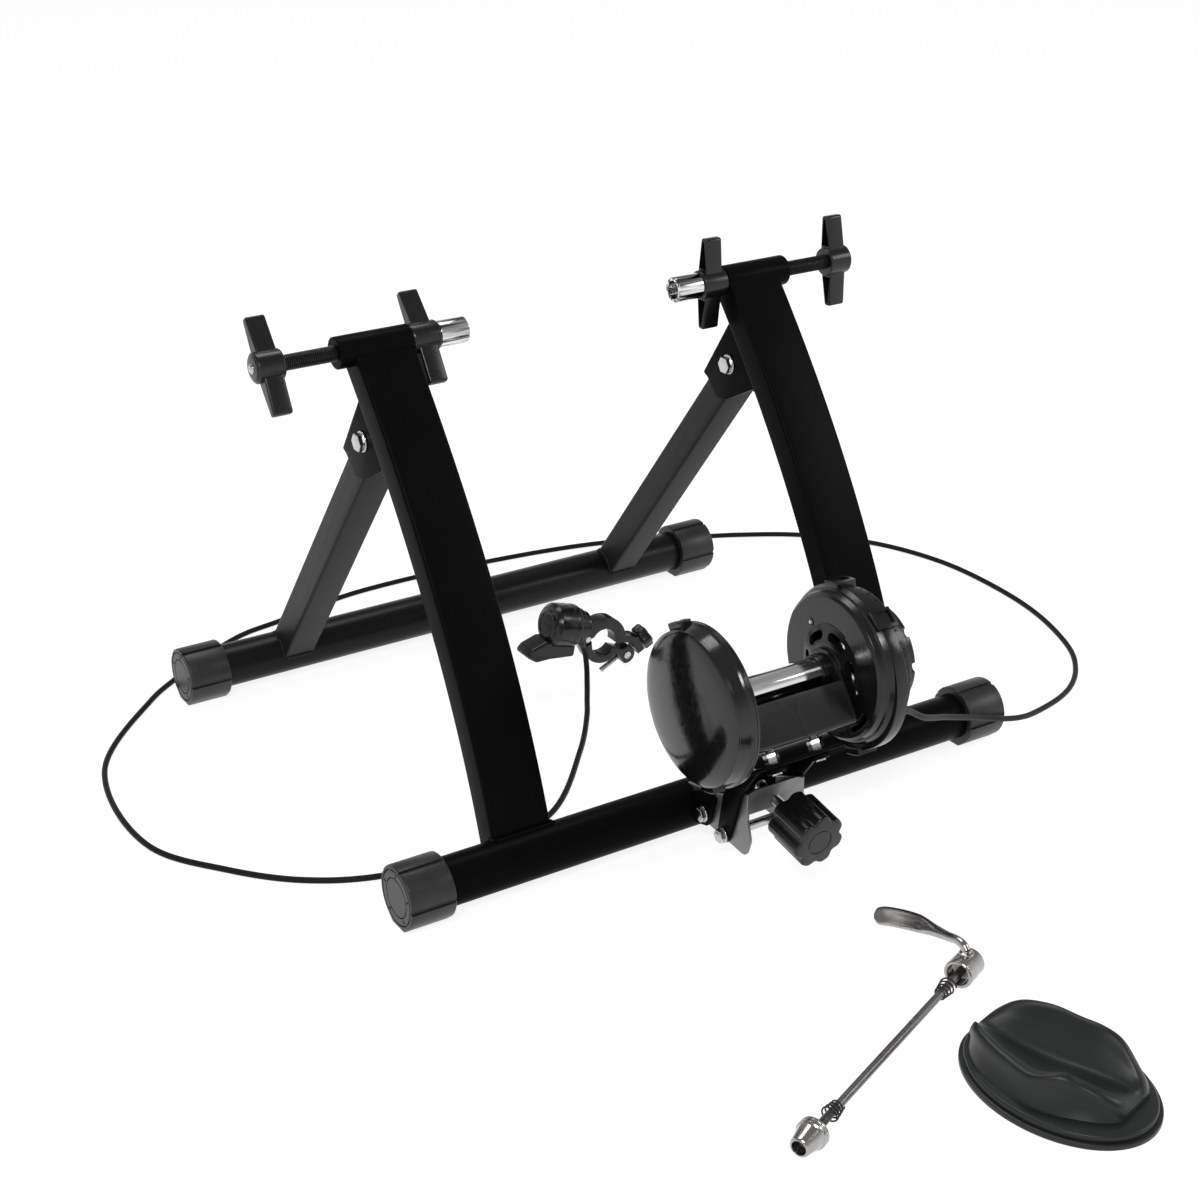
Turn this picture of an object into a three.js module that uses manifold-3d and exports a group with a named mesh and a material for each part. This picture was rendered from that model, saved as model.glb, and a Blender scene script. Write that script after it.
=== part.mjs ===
// Folding bicycle trainer with a magnetic resistance unit and a cable shifter, together with
// its quick-release skewer and its riser block for the front wheel.
// Lengths are in millimetres and angles in degrees. +X runs to the right along the base tubes,
// +Y to the rear and +Z up. Sizes are drawn from the floor under the front tube's axis, and the
// whole is then shifted so that the origin is under the middle of its outer box.

import * as THREE from "three";
import { mergeVertices } from "three/addons/utils/BufferGeometryUtils.js";
import Module from "manifold-3d";

const wasm = await Module();
wasm.setup();

// Facets round a wheel, a tube, a handle and a bolt
const round = { wheel: 28, tube: 20, foot: 20, grip: 14, bolt: 10 };

// Clearances shared by all pieces
const fit = { seat: 0.3, overrun: 6, weld: 0.001, lap: 1 };

// Base tubes and their rubber feet
const tube = { diameter: 38, wall: 1.5, frontLength: 561, rearLength: 552, spacing: 421 };
const foot = { diameter: 50, length: 37, endWall: 3, padHalfWidth: 17, edge: 1.5 };
const footGroove = { width: 3, depth: 1.2, angles: [30, 106, 182] };
const tubeHeight = foot.diameter / 2;

// Uprights: curved box tubes from the front tube to the clamp sleeves
const upright = { stance: 171.5, width: 50, depth: 25, corner: 3, footY: 1.1, footRise: 5 };
const uprightTop = { lean: 40.8, frontOffset: 9.2, sweep: 227.6 };
const sleeve = { y: 209, z: 367, diameter: 25, inside: 0.3, outside: 11.5, chamfer: 1 };

// Axle clamps
const clamp = { rod: 12.5, tip: 8, tipLength: 7, cup: 21, cupLength: 24.5, cupEdge: 1 };
const cupMouth = { diameter: 15, depth: 9.5, bottom: 11 };
const handle = { span: 77, hub: 24, hubLength: 22, proud: 4, armWidth: 16, root: 15, tip: 7, edge: 1.2 };
const pocket = { wall: 2.2, depth: 9, start: 13 };
const outerHandle = { hubFace: 274, tilts: { left: 33, right: 6 } };
const lockKnob = { hubLength: 24, proud: 4, tilts: { left: 38, right: -2 } };

// Pivot brackets, struts and through bolts of the folding leg
const pivot = { y: 206, z: 294.3, bolt: 8 };
const bracket = { plate: 3, innerHalf: 15.5, web: 3, shares: [0.79, 0.939] };
const bracketEdge = [
  { back: 38, up: -17.3 },
  { back: 32, up: -20.3 },
  { back: 18, up: -34.3 },
  { back: 5, up: -33.3 },
];
const strut = { width: 29, depth: 28, corner: 2.5 };
const boltHead = { across: 13, height: 4.5, washer: 17, washerThickness: 1.6 };
const boltNut = { across: 13, height: 6.5 };

// Bracket of the resistance unit on the front tube, heights from the floor
const ear = { inner: 27, plate: 3, lobe: 9, bolt: 8, bend: 3, neckBend: 6, lowBend: 4 };
const crossBolt = { y: -28.3, z: 30.4 };
const unitPivot = { y: -54.4, z: 24.8 };
const zinc = { inner: 24, plate: 2.5, frontY: -79.5, wallLow: 45, wallHigh: 72 };
const zincBend = { corner: 12, cheek: 3, low: 2 };
const cheekTop = { rearY: -40, rearZ: 52, frontZ: 70 };
const cheekTip = { y: -79, z: 20, radius: 7, noseY: -84, noseZ: 32, rearY: -25, rearZ: 21 };
const earEdge = { topY: -10, topZ: 42, peakY: -34, peakZ: 54, noseY: -42, noseZ: 48, lowY: -17, lowZ: 17 };

// Resistance unit: its own axes stand at the roller, leaned back with the swing arm
const unit = { y: -69, z: 150, lean: 35 };
const roller = { diameter: 23, length: 90, shaft: 8, collarLength: 0.6 };
const trough = { halfWidth: 20, top: -12, bottom: -45, wall: 2.5, length: 94, plate: 3, crown: 17 };
const bearing = { outer: 22, width: 6.4 };
const stud = { spread: 20, v: -1, diameter: 8, across: 13, head: 4 };
const arm = { plate: 3, top: -55.5, headFront: -14, headRear: 16, headHalf: 38, bodyHalf: 30 };
const armBend = { head: 3, waist: 2, knee: 6, lobe: 5, heel: 4 };
const armCheek = { front: 8, kneeV: 40.2, kneeW: -69.5, shinV: 59.7, shinW: -85.2, rear: 58.1, lobe: 9.5 };
const tongue = { halfWidth: 20, y: -52, thickness: 3, bottomZ: 54 };
const cover = { rim: 62.4, rimX: 55.5, shoulder: 58, shoulderX: 71.5, crownX: 80, wall: 2.5 };
const domeShares = [[0, 0], [0.5, 0.18], [0.8, 0.5], [0.95, 0.8]];
const coverBack = { thickness: 3, dish: 30 };
const flywheel = { radius: 54, from: 57.5, thickness: 9 };
const shell = { face: 57.4, faceX: 55.5, seam: 64.7, seamX: 66.8, wall: 2.5, boss: 19, bossX: 50.3 };
const rearShell = { lip: 68, lipX: 75, waist: 60, waistX: 86, neck: 52, neckX: 96 };
const slot = { inner: 24.5, outer: 28.5, arc: 38, first: 11, pitch: 61, count: 6 };
const longSlot = { inner: 46, outer: 50, arc: 30, first: -165 };
const rotor = { radius: 50, from: 72, thickness: 3 };
const dial = { radius: 39.4, from: 97, thickness: 8, edge: 1.5, notch: 5, notches: 9, hub: 6 };
const clip = { height: 4.5, length: 12, arc: 8 };
const shellClips = [76, 125, 218, 290];
const coverClips = [62, 255];
const gland = { radius: 4.5, neck: 3.6, length: 13, aim: [21, 13, -12], reach: 51, angle: -131.5 };

// Tension screw that presses the roller to the wheel
const tension = { wallZ: 58.5, slope: 9.7, diameter: 8 };
const pad = { diameter: 10, nose: 5, noseLength: 4.5, length: 8, dome: 1 };
const tensionKnob = { back: 21, length: 36, radius: 22, lobes: 7, lobeDepth: 2.6, edge: 2.5 };

// Shifter on the floor: sizes in its own plane, seen from the front, from the handlebar hole
const shifter = { x: 63.6, y: 271.3, thickness: 15, hole: 12.5, arch: 26, jaw: 20.5, edge: 1.5 };
const archArcs = { outside: [118, -4], hole: [-14, 145], eye: [-20, -160] };
const jawArcs = { eye: [-20, 215], outside: [202, 312], lug: [250, 485], hole: [-38, -165] };
const barrel = { baseX: -18.6, baseZ: 18.1, lean: 16.8, radius: 19.5, neck: 14, collar: 16.5 };
const barrelRun = { collar: 5, drum: 10, shoulder: 12.5, rim: 34, face: 38.8, cap: 13, capThickness: 1.6 };
const cableBoss = { place: [-29, -12.5, 14.5], aim: [3.5, 0.2, -10.5], length: 11, radius: 3.4, tip: 3 };
const lever = { reach: 84.7, halfWidth: 11, edge: 1.5 };
const screw = { lean: 26.5, diameter: 5, tail: 27.3 };
const screwBoss = { from: 10, to: 18.6, half: 7.5, throat: 6.75 };
const thumb = { radius: 11.5, thickness: 9, lobes: 6, lobeDepth: 1.4, edge: 1.5, sink: 5 };
const crossPin = { x: 24.4, z: -19, lug: 8.5, radius: 3.5, proud: 1.2, play: 1.8, slotHalf: 3.1 };
const jawPin = { x: -19, z: 9, radius: 3, eye: 6.5, reach: 11.5 };

// Cable
const cable = { diameter: 5, sides: 8, steps: 76 };

// Skewer
const skewer = { rod: 5.9, rest: 10.7, headX: 32.6, headY: -267.7, heading: 203.5, length: 244.5 };
const skewerHead = { length: 22.4, wall: 2.6, cup: 9, edge: 1.2 };
const skewerNut = { ringLength: 7, tip: 6.9, length: 20.9, mouth: 5.1, depth: 8 };
const skewerLever = { pin: 3.6, place: 9.5, sink: 5, stalk: 3.3, reach: 86, rise: 26.8 };
const skewerBlade = { halfWidth: 7, halfThickness: 2.1 };
const bladeFacing = [0.783, -0.394, 0.481];
const spring = { wire: 0.9, wide: 5.9, narrow: 3.95, length: 13.7, curls: 4, nearHead: 14, nearNut: 12 };

// Riser block
const riser = { x: -3.2, y: -394.5, heading: -84.7, halfLength: 73.2, halfWidth: 53.9 };
const riserFlange = { lower: 4.5, upper: 9, inset: 3, edge: 1, sunk: 1.5 };
const riserBlock = { heading: -72, halfLength: 64, halfWidth: 44, height: 40, draft: 4 };
const flankShares = { low: 0.6, front: 0.94, back: 0.96 };

const toRadians = THREE.MathUtils.degToRad;

// Welds a geometry's shared corners, drops its slivers and turns its faces outwards
function closed(geometry) {
  const bare = new THREE.BufferGeometry();
  bare.setAttribute("position", geometry.getAttribute("position"));
  if (geometry.index) bare.setIndex(geometry.index);
  const welded = mergeVertices(bare, fit.weld);
  const place = welded.getAttribute("position");
  const index = welded.index.array;
  const faces = [];
  let volume = 0;
  for (let k = 0; k < index.length; k += 3) {
    const [a, b, c] = [index[k], index[k + 1], index[k + 2]];
    if (a === b || b === c || c === a) continue;
    faces.push([a, b, c]);
    const corner = new THREE.Vector3().fromBufferAttribute(place, a);
    const next = new THREE.Vector3().fromBufferAttribute(place, b);
    const last = new THREE.Vector3().fromBufferAttribute(place, c);
    volume += corner.dot(next.cross(last));
  }
  const order = volume < 0 ? faces.map(([a, b, c]) => [a, c, b]) : faces;
  welded.setIndex(order.flat());
  return welded;
}

function toSolid(geometry) {
  const body = closed(geometry);
  return new wasm.Manifold(new wasm.Mesh({
    numProp: 3,
    vertProperties: new Float32Array(body.getAttribute("position").array),
    triVerts: new Uint32Array(body.index.array),
  }));
}

function toGeometry(solid) {
  const mesh = solid.getMesh();
  const geometry = new THREE.BufferGeometry();
  geometry.setAttribute("position", new THREE.BufferAttribute(mesh.vertProperties, 3));
  geometry.setIndex(new THREE.BufferAttribute(mesh.triVerts, 1));
  return geometry;
}

function cut(body, ...tools) {
  return toGeometry(tools.reduce((left, tool) => left.subtract(toSolid(tool)), toSolid(body)));
}

function join(body, ...others) {
  return toGeometry(others.reduce((sum, other) => sum.add(toSolid(other)), toSolid(body)));
}

// Solid of revolution about X: the profile lists [radius, place along X]
function revolve(profile, sides, loops = false) {
  const points = profile.map(([radius, along]) => new THREE.Vector2(radius, along));
  if (loops) points.push(points[0].clone());
  return new THREE.LatheGeometry(points, sides).rotateZ(-Math.PI / 2);
}

function rod(radius, from, to, sides = round.bolt) {
  return revolve([[0, from], [radius, from], [radius, to], [0, to]], sides);
}

function ring(outer, inner, from, to, sides = round.grip) {
  return revolve([[inner, from], [outer, from], [outer, to], [inner, to]], sides, true);
}

// Outline through corners [a, b, radius], each rounded by its own radius where it has one
function rounded(corners) {
  const shape = new THREE.Shape();
  corners.forEach(([a, b, radius = 0], k) => {
    const here = new THREE.Vector2(a, b);
    const before = new THREE.Vector2(...corners[(k + corners.length - 1) % corners.length]);
    const after = new THREE.Vector2(...corners[(k + 1) % corners.length]);
    const back = before.sub(here).normalize();
    const ahead = after.sub(here).normalize();
    const half = back.angleTo(ahead) / 2;
    const run = radius / Math.tan(half);
    const start = here.clone().addScaledVector(back, run);
    const end = here.clone().addScaledVector(ahead, run);
    if (k === 0) shape.moveTo(start.x, start.y);
    else shape.lineTo(start.x, start.y);
    if (radius > 0) shape.quadraticCurveTo(here.x, here.y, end.x, end.y);
  });
  shape.closePath();
  return shape;
}

// Extrudes an outline from 0 to depth along its normal, with rounded edges
function extrude(shape, depth, edge = 0, curveSegments = 3) {
  const geometry = new THREE.ExtrudeGeometry(shape, {
    depth: depth - 2 * edge,
    bevelEnabled: edge > 0,
    bevelThickness: edge,
    bevelSize: edge,
    bevelOffset: -edge,
    bevelSegments: 1,
    curveSegments,
  });
  return geometry.translate(0, 0, edge);
}

// The same, with the outline given in (y, z) and its depth along X
function slab(shape, from, to, edge = 0, curveSegments = 3) {
  const axes = new THREE.Matrix4().makeBasis(
    new THREE.Vector3(0, 1, 0), new THREE.Vector3(0, 0, 1), new THREE.Vector3(1, 0, 0));
  return extrude(shape, to - from, edge, curveSegments).applyMatrix4(axes).translate(from, 0, 0);
}

// The same, with the outline given in (x, z) and its depth along Y, in the middle of a thickness
function leaf(shape, thickness, edge = 0, curveSegments = 3) {
  const turned = extrude(shape, thickness, edge, curveSegments).rotateX(Math.PI / 2);
  return turned.translate(0, thickness / 2, 0);
}

function block(from, to) {
  const size = from.map((low, k) => to[k] - low);
  const middle = from.map((low, k) => (low + to[k]) / 2);
  return new THREE.BoxGeometry(...size).translate(...middle);
}

function hexagon(across, from, to) {
  return rod(across / Math.sqrt(3), from, to, 6);
}

// Turns a solid drawn along +X so that it points along a direction from a place
function aim(geometry, direction, place) {
  const heading = new THREE.Vector3(...direction).normalize();
  const turn = new THREE.Quaternion().setFromUnitVectors(new THREE.Vector3(1, 0, 0), heading);
  return geometry.applyQuaternion(turn).translate(...place);
}

function polygonShape(radius, sides) {
  const shape = new THREE.Shape();
  for (let k = 0; k < sides; k += 1) {
    const angle = (k / sides) * 2 * Math.PI;
    const point = [radius * Math.cos(angle), radius * Math.sin(angle)];
    if (k === 0) shape.moveTo(...point);
    else shape.lineTo(...point);
  }
  shape.closePath();
  return shape;
}

function hose(curve, radius, sides, steps) {
  return new THREE.ExtrudeGeometry(polygonShape(radius, sides), { steps, extrudePath: curve });
}

// Wavy outline of a hand knob
function lobedShape(radius, lobes, depth, pointsPerLobe = 6) {
  const shape = new THREE.Shape();
  for (let k = 0; k < lobes * pointsPerLobe; k += 1) {
    const angle = (k / (lobes * pointsPerLobe)) * 2 * Math.PI;
    const reach = radius - depth * (0.5 - 0.5 * Math.cos(lobes * angle)) ** 2;
    const point = [reach * Math.cos(angle), reach * Math.sin(angle)];
    if (k === 0) shape.moveTo(...point);
    else shape.lineTo(...point);
  }
  shape.closePath();
  return shape;
}

const part = new THREE.Group();
const colours = { paint: 0x101010, rubber: 0x222222, plastic: 0x181818, chrome: 0xcccccc, zinc: 0x8a8a8a };

function add(parent, name, geometry, colour) {
  const finish = new THREE.MeshStandardMaterial({ color: colours[colour] });
  const mesh = new THREE.Mesh(closed(geometry), finish);
  mesh.name = name;
  parent.add(mesh);
}

const sides = { left: -1, right: 1 };

// Base tubes and feet

function footShape() {
  const radius = foot.diameter / 2;
  const shape = new THREE.Shape();
  const meet = Math.acos(foot.padHalfWidth / radius);
  const points = [[-foot.padHalfWidth, -radius], [foot.padHalfWidth, -radius]];
  const notch = footGroove.width / 2 / radius;
  for (let k = 0; k <= round.foot; k += 1) {
    const angle = -meet + (k / round.foot) * (Math.PI + 2 * meet);
    const inGroove = footGroove.angles.some((at) => Math.abs(angle - toRadians(at)) < 2 * notch);
    if (!inGroove) points.push([angle]);
  }
  for (const at of footGroove.angles) {
    const middle = toRadians(at);
    points.push([middle - notch], [middle - notch, 1, "deep"], [middle + notch, 1, "deep"], [middle + notch]);
  }
  const pad = points.filter((point) => point.length === 2);
  const arc = points.filter((point) => point.length !== 2);
  arc.sort((one, two) => one[0] - two[0]);
  pad.forEach((point, k) => (k === 0 ? shape.moveTo(...point) : shape.lineTo(...point)));
  for (const [angle, , deep] of arc) {
    const reach = deep ? radius - footGroove.depth : radius;
    shape.lineTo(reach * Math.cos(angle), reach * Math.sin(angle));
  }
  shape.closePath();
  return shape;
}

function footCap(side, overall) {
  const end = overall / 2;
  const body = slab(footShape(), end - foot.length, end, foot.edge);
  const boreFrom = end - foot.length - fit.overrun;
  const bore = rod(tube.diameter / 2 + fit.seat, boreFrom, end - foot.endWall, round.tube);
  return cut(body, bore).scale(side, 1, 1);
}

function baseTube(overall) {
  const end = overall / 2 - foot.endWall - fit.seat;
  return ring(tube.diameter / 2, tube.diameter / 2 - tube.wall, -end, end, round.tube);
}

for (const [name, overall, y] of [
  ["front", tube.frontLength, 0],
  ["rear", tube.rearLength, tube.spacing],
]) {
  for (const [hand, side] of Object.entries(sides)) {
    add(part, `${name}_${hand}_foot`, footCap(side, overall).translate(0, y, tubeHeight), "rubber");
  }
}

// Uprights: the front face is one sweep, and the rear face lies the tube's depth behind it

const topLean = toRadians(uprightTop.lean);
const topForward = new THREE.Vector2(-Math.cos(topLean), Math.sin(topLean));
const topAlong = new THREE.Vector2(Math.sin(topLean), Math.cos(topLean));
const sweepTop = new THREE.Vector2(sleeve.y, sleeve.z).addScaledVector(topForward, uprightTop.frontOffset);
const sweepBend = sweepTop.clone().addScaledVector(topAlong, -uprightTop.sweep);
const sweepFoot = new THREE.Vector2(upright.footY, tubeHeight + upright.footRise);
const sweep = new THREE.QuadraticBezierCurve(sweepFoot, sweepBend, sweepTop);

function behindSweep(share, distance) {
  const along = sweep.getTangent(share);
  return sweep.getPoint(share).add(new THREE.Vector2(along.y, -along.x).multiplyScalar(distance));
}

function sweepBand(near, far, from, to, count) {
  const shape = new THREE.Shape();
  const shares = Array.from({ length: count + 1 }, (_, k) => from + (k / count) * (to - from));
  const points = shares.map((share) => behindSweep(share, near));
  points.push(...shares.reverse().map((share) => behindSweep(share, far)));
  shape.setFromPoints(points);
  return shape;
}

const frontTubeTool = rod(tube.diameter / 2 + fit.seat, -tube.frontLength, tube.frontLength, round.tube)
  .translate(0, 0, tubeHeight);
const sleeveBoreTool = rod(clamp.rod / 2 + fit.seat, -tube.frontLength, tube.frontLength, round.tube)
  .translate(0, sleeve.y, sleeve.z);

function uprightBody(centre) {
  const half = upright.width / 2;
  const body = slab(sweepBand(0, upright.depth, 0, 1, 10), centre - half, centre + half, upright.corner);
  return join(cut(body, frontTubeTool, sleeveBoreTool), clampSleeve(Math.sign(centre)));
}

// Clamp sleeve, welded across the upright's top
function clampSleeve(side) {
  const inner = upright.stance - upright.width / 2 - sleeve.inside;
  const outer = upright.stance + upright.width / 2 + sleeve.outside;
  const radius = sleeve.diameter / 2;
  const bore = clamp.rod / 2 + fit.seat;
  const profile = [
    [bore, inner], [radius, inner], [radius, outer - sleeve.chamfer],
    [radius - sleeve.chamfer, outer], [bore, outer],
  ];
  return revolve(profile, round.tube, true).scale(side, 1, 1).translate(0, sleeve.y, sleeve.z);
}

// Pivot brackets: two plates and a web behind the upright, on the leg's pivot

function bracketBody(centre) {
  const near = upright.depth + fit.seat;
  const [low, high] = bracket.shares;
  const count = 4;
  const face = Array.from({ length: count + 1 }, (_, k) => low + (k / count) * (high - low));
  const points = face.map((share) => behindSweep(share, near));
  points.push(...bracketEdge.map(({ back, up }) => new THREE.Vector2(pivot.y + back, pivot.z + up)));
  const outline = new THREE.Shape().setFromPoints(points);
  const outer = bracket.innerHalf + bracket.plate;
  const web = slab(sweepBand(near, near + bracket.web, low, high, count), centre - outer, centre + outer);
  const plates = [[-outer, -bracket.innerHalf], [bracket.innerHalf, outer]].map(
    ([from, to]) => slab(outline, centre + from, centre + to));
  const hole = rod(pivot.bolt / 2 + fit.seat, centre - outer - fit.overrun, centre + outer + fit.overrun)
    .translate(0, pivot.y, pivot.z);
  return cut(join(web, ...plates), hole);
}

// Through bolt along +X with its washer and hexagon head on the left and its tightened nut
function addThroughBolt(name, shank, halfGrip, centre, y, z) {
  const face = halfGrip + fit.seat;
  const washerBack = -face - boltHead.washerThickness;
  const washer = rod(boltHead.washer / 2, washerBack, -face, round.bolt);
  const head = hexagon(boltHead.across, washerBack - boltHead.height, washerBack + fit.weld);
  const nut = hexagon(boltNut.across, face, face + boltNut.height);
  const stem = rod(shank / 2, washerBack, face + boltNut.height + fit.lap);
  const body = join(stem, washer, head, nut);
  add(part, `${name}_bolt`, body.translate(centre, y, z), "chrome");
}

// Struts of the folding leg: coped on the rear tube, rounded about the pivot

function strutBody(centre) {
  const run = Math.hypot(tube.spacing - pivot.y, tubeHeight - pivot.z);
  const slope = Math.atan2(tubeHeight - pivot.z, tube.spacing - pivot.y);
  const radius = strut.depth / 2;
  const outline = new THREE.Shape();
  outline.absarc(0, 0, radius, Math.PI / 2, 1.5 * Math.PI);
  outline.lineTo(run, -radius);
  outline.lineTo(run, radius);
  outline.closePath();
  const half = strut.width / 2;
  const body = slab(outline, centre - half, centre + half, strut.corner, 8)
    .rotateX(slope).translate(0, pivot.y, pivot.z);
  const [saddleFrom, saddleTo] = [centre - upright.width, centre + upright.width];
  const saddle = rod(tube.diameter / 2 + fit.seat, saddleFrom, saddleTo, round.tube)
    .translate(0, tube.spacing, tubeHeight);
  const hole = rod(pivot.bolt / 2 + fit.seat, centre - half - fit.overrun, centre + half + fit.overrun)
    .translate(0, pivot.y, pivot.z);
  return cut(body, saddle, hole);
}

for (const [hand, side] of Object.entries(sides)) {
  const centre = side * upright.stance;
  add(part, `${hand}_upright`, uprightBody(centre), "paint");
  add(part, `${hand}_pivot_bracket`, bracketBody(centre), "paint");
  addThroughBolt(`${hand}_pivot`, pivot.bolt, bracket.innerHalf + bracket.plate, centre, pivot.y, pivot.z);
  add(part, `${hand}_strut`, strutBody(centre), "paint");
}

// Axle clamps: a chromed cup on a threaded rod, turned by the outer handle and held by the lock knob

function handleArm(size, from) {
  const half = size.span / 2;
  const [root, tip] = [size.root / 2, size.tip / 2];
  return slab(rounded([
    [-root, 0], [-tip, -half, tip / 2], [tip, -half, tip / 2],
    [root, 0], [tip, half, tip / 2], [-tip, half, tip / 2],
  ]), from, from + size.armWidth, size.edge, 3);
}

// Two-armed handle along +X: hub from 0, arms flush with its far end less the proud face
function handleBody(hubLength, proud, boreEnd, pocketAtFarFace) {
  const armFrom = hubLength - proud - handle.armWidth;
  const armTo = hubLength - proud;
  const hub = revolve([
    [0, 0], [handle.hub / 2, 0], [handle.hub / 2, hubLength - handle.edge],
    [handle.hub / 2 - handle.edge, hubLength], [0, hubLength],
  ], round.grip);
  const half = handle.span / 2;
  const [root, tip] = [handle.root / 2 - pocket.wall, handle.tip / 2 - pocket.wall];
  const pocketFrom = pocketAtFarFace ? armTo - pocket.depth : armFrom - fit.overrun;
  const pocketTo = pocketAtFarFace ? armTo + fit.overrun : armFrom + pocket.depth;
  const pockets = [-1, 1].map((way) => slab(new THREE.Shape([
    new THREE.Vector2(-root, way * pocket.start), new THREE.Vector2(root, way * pocket.start),
    new THREE.Vector2(tip, way * (half - pocket.wall)), new THREE.Vector2(-tip, way * (half - pocket.wall)),
  ]), pocketFrom, pocketTo));
  const bore = rod(clamp.rod / 2 + fit.seat, -fit.overrun, boreEnd, round.grip);
  return cut(join(hub, handleArm(handle, armFrom)), bore, ...pockets);
}

function axleCup() {
  const [radius, mouth] = [clamp.cup / 2, cupMouth.diameter / 2];
  const socket = clamp.tip / 2 + fit.seat;
  const socketBottom = clamp.cupLength - clamp.tipLength - fit.seat;
  return revolve([
    [0, cupMouth.bottom], [mouth - clamp.cupEdge, cupMouth.depth], [mouth, 0],
    [radius - clamp.cupEdge, 0], [radius, clamp.cupEdge],
    [radius, clamp.cupLength], [socket, clamp.cupLength], [socket, socketBottom], [0, socketBottom],
  ], round.tube);
}

for (const [hand, side] of Object.entries(sides)) {
  const group = new THREE.Group();
  group.position.set(0, sleeve.y, sleeve.z);
  part.add(group);
  const sleeveInner = upright.stance - upright.width / 2 - sleeve.inside;
  const lockFrom = sleeveInner - fit.seat - lockKnob.hubLength;
  const cupBack = lockFrom - fit.seat;
  const handleFrom = outerHandle.hubFace - handle.hubLength;
  const rodEnd = outerHandle.hubFace - handle.proud - clamp.cupEdge;
  const cup = axleCup().translate(cupBack - clamp.cupLength, 0, 0).scale(side, 1, 1);
  add(group, `${hand}_axle_cup`, cup, "chrome");
  const screwBody = revolve([
    [0, cupBack - clamp.tipLength], [clamp.tip / 2, cupBack - clamp.tipLength], [clamp.tip / 2, lockFrom],
    [clamp.rod / 2, lockFrom], [clamp.rod / 2, rodEnd], [0, rodEnd],
  ], round.grip);
  add(group, `${hand}_clamp_screw`, screwBody.scale(side, 1, 1), "paint");
  const outer = handleBody(handle.hubLength, handle.proud, rodEnd - handleFrom + fit.seat, false)
    .rotateX(-toRadians(outerHandle.tilts[hand])).translate(handleFrom, 0, 0).scale(side, 1, 1);
  add(group, `${hand}_clamp_handle`, outer, "plastic");
  const lock = handleBody(lockKnob.hubLength, lockKnob.proud, lockKnob.hubLength + fit.overrun, true)
    .scale(-1, 1, 1).rotateX(-toRadians(lockKnob.tilts[hand]))
    .translate(sleeveInner - fit.seat, 0, 0).scale(side, 1, 1);
  add(group, `${hand}_lock_knob`, lock, "plastic");
}

// Tube bracket ears, welded to the front tube, and the zinc-plated bracket bolted between them

function earBody() {
  const outline = rounded([
    [earEdge.topY, earEdge.topZ], [earEdge.peakY, earEdge.peakZ, ear.bend],
    [earEdge.noseY, earEdge.noseZ, ear.bend], [crossBolt.y - ear.lobe, crossBolt.z, ear.neckBend],
    [crossBolt.y - ear.lobe / 2, crossBolt.z - ear.lobe, ear.lowBend],
    [earEdge.lowY, earEdge.lowZ], [0, earEdge.lowZ], [0, earEdge.topZ],
  ]);
  const hole = rod(ear.bolt / 2 + fit.seat, 0, ear.inner + ear.plate + fit.overrun)
    .translate(0, crossBolt.y, crossBolt.z);
  const bore = rod(tube.diameter / 2 - tube.wall, 0, ear.inner + ear.plate + fit.overrun, round.tube)
    .translate(0, 0, tubeHeight);
  return cut(slab(outline, ear.inner, ear.inner + ear.plate), bore, hole);
}

const frontTube = baseTube(tube.frontLength).translate(0, 0, tubeHeight);
add(part, "front_base_tube", join(frontTube, earBody(), earBody().scale(-1, 1, 1)), "paint");
add(part, "rear_base_tube", baseTube(tube.rearLength).translate(0, tube.spacing, tubeHeight), "paint");

const slope = toRadians(tension.slope);
const screwHeading = [0, Math.cos(slope), Math.sin(slope)];

function zincBracket() {
  const outline = rounded([
    [0, tubeHeight + tube.diameter / 2], [cheekTop.rearY, cheekTop.rearZ, zincBend.cheek],
    [zinc.frontY + zinc.plate, cheekTop.frontZ], [zinc.frontY, cheekTop.frontZ],
    [zinc.frontY, zinc.wallLow + zinc.plate], [cheekTip.noseY, cheekTip.noseZ, cheekTip.radius],
    [cheekTip.y, cheekTip.z - cheekTip.radius / 2, cheekTip.radius],
    [cheekTip.rearY, cheekTip.rearZ], [0, cheekTip.rearZ],
  ]);
  const outer = zinc.inner + zinc.plate;
  const cheeks = [[-outer, -zinc.inner], [zinc.inner, outer]].map(([from, to]) => slab(outline, from, to));
  const wall = extrude(rounded([
    [-outer, zinc.wallLow, zincBend.low], [outer, zinc.wallLow, zincBend.low],
    [outer, zinc.wallHigh, zincBend.corner], [-outer, zinc.wallHigh, zincBend.corner],
  ]), zinc.plate).rotateX(Math.PI / 2).translate(0, zinc.frontY + zinc.plate, 0);
  const screwHole = aim(rod(tension.diameter / 2 + fit.seat, -unit.z, unit.z), screwHeading,
    [0, zinc.frontY + zinc.plate / 2, tension.wallZ]);
  const holes = [crossBolt, unitPivot].map(({ y, z }) =>
    rod(ear.bolt / 2 + fit.seat, -ear.inner - fit.overrun, ear.inner + fit.overrun).translate(0, y, z));
  return cut(join(wall, ...cheeks), frontTubeTool, screwHole, ...holes);
}

add(part, "zinc_bracket", zincBracket(), "zinc");
addThroughBolt("bracket_cross", ear.bolt, ear.inner + ear.plate, 0, crossBolt.y, crossBolt.z);
addThroughBolt("unit_pivot", ear.bolt, ear.inner + ear.plate, 0, unitPivot.y, unitPivot.z);

// Tension screw: pad, threaded screw and lobed knob on one sloping line

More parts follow.
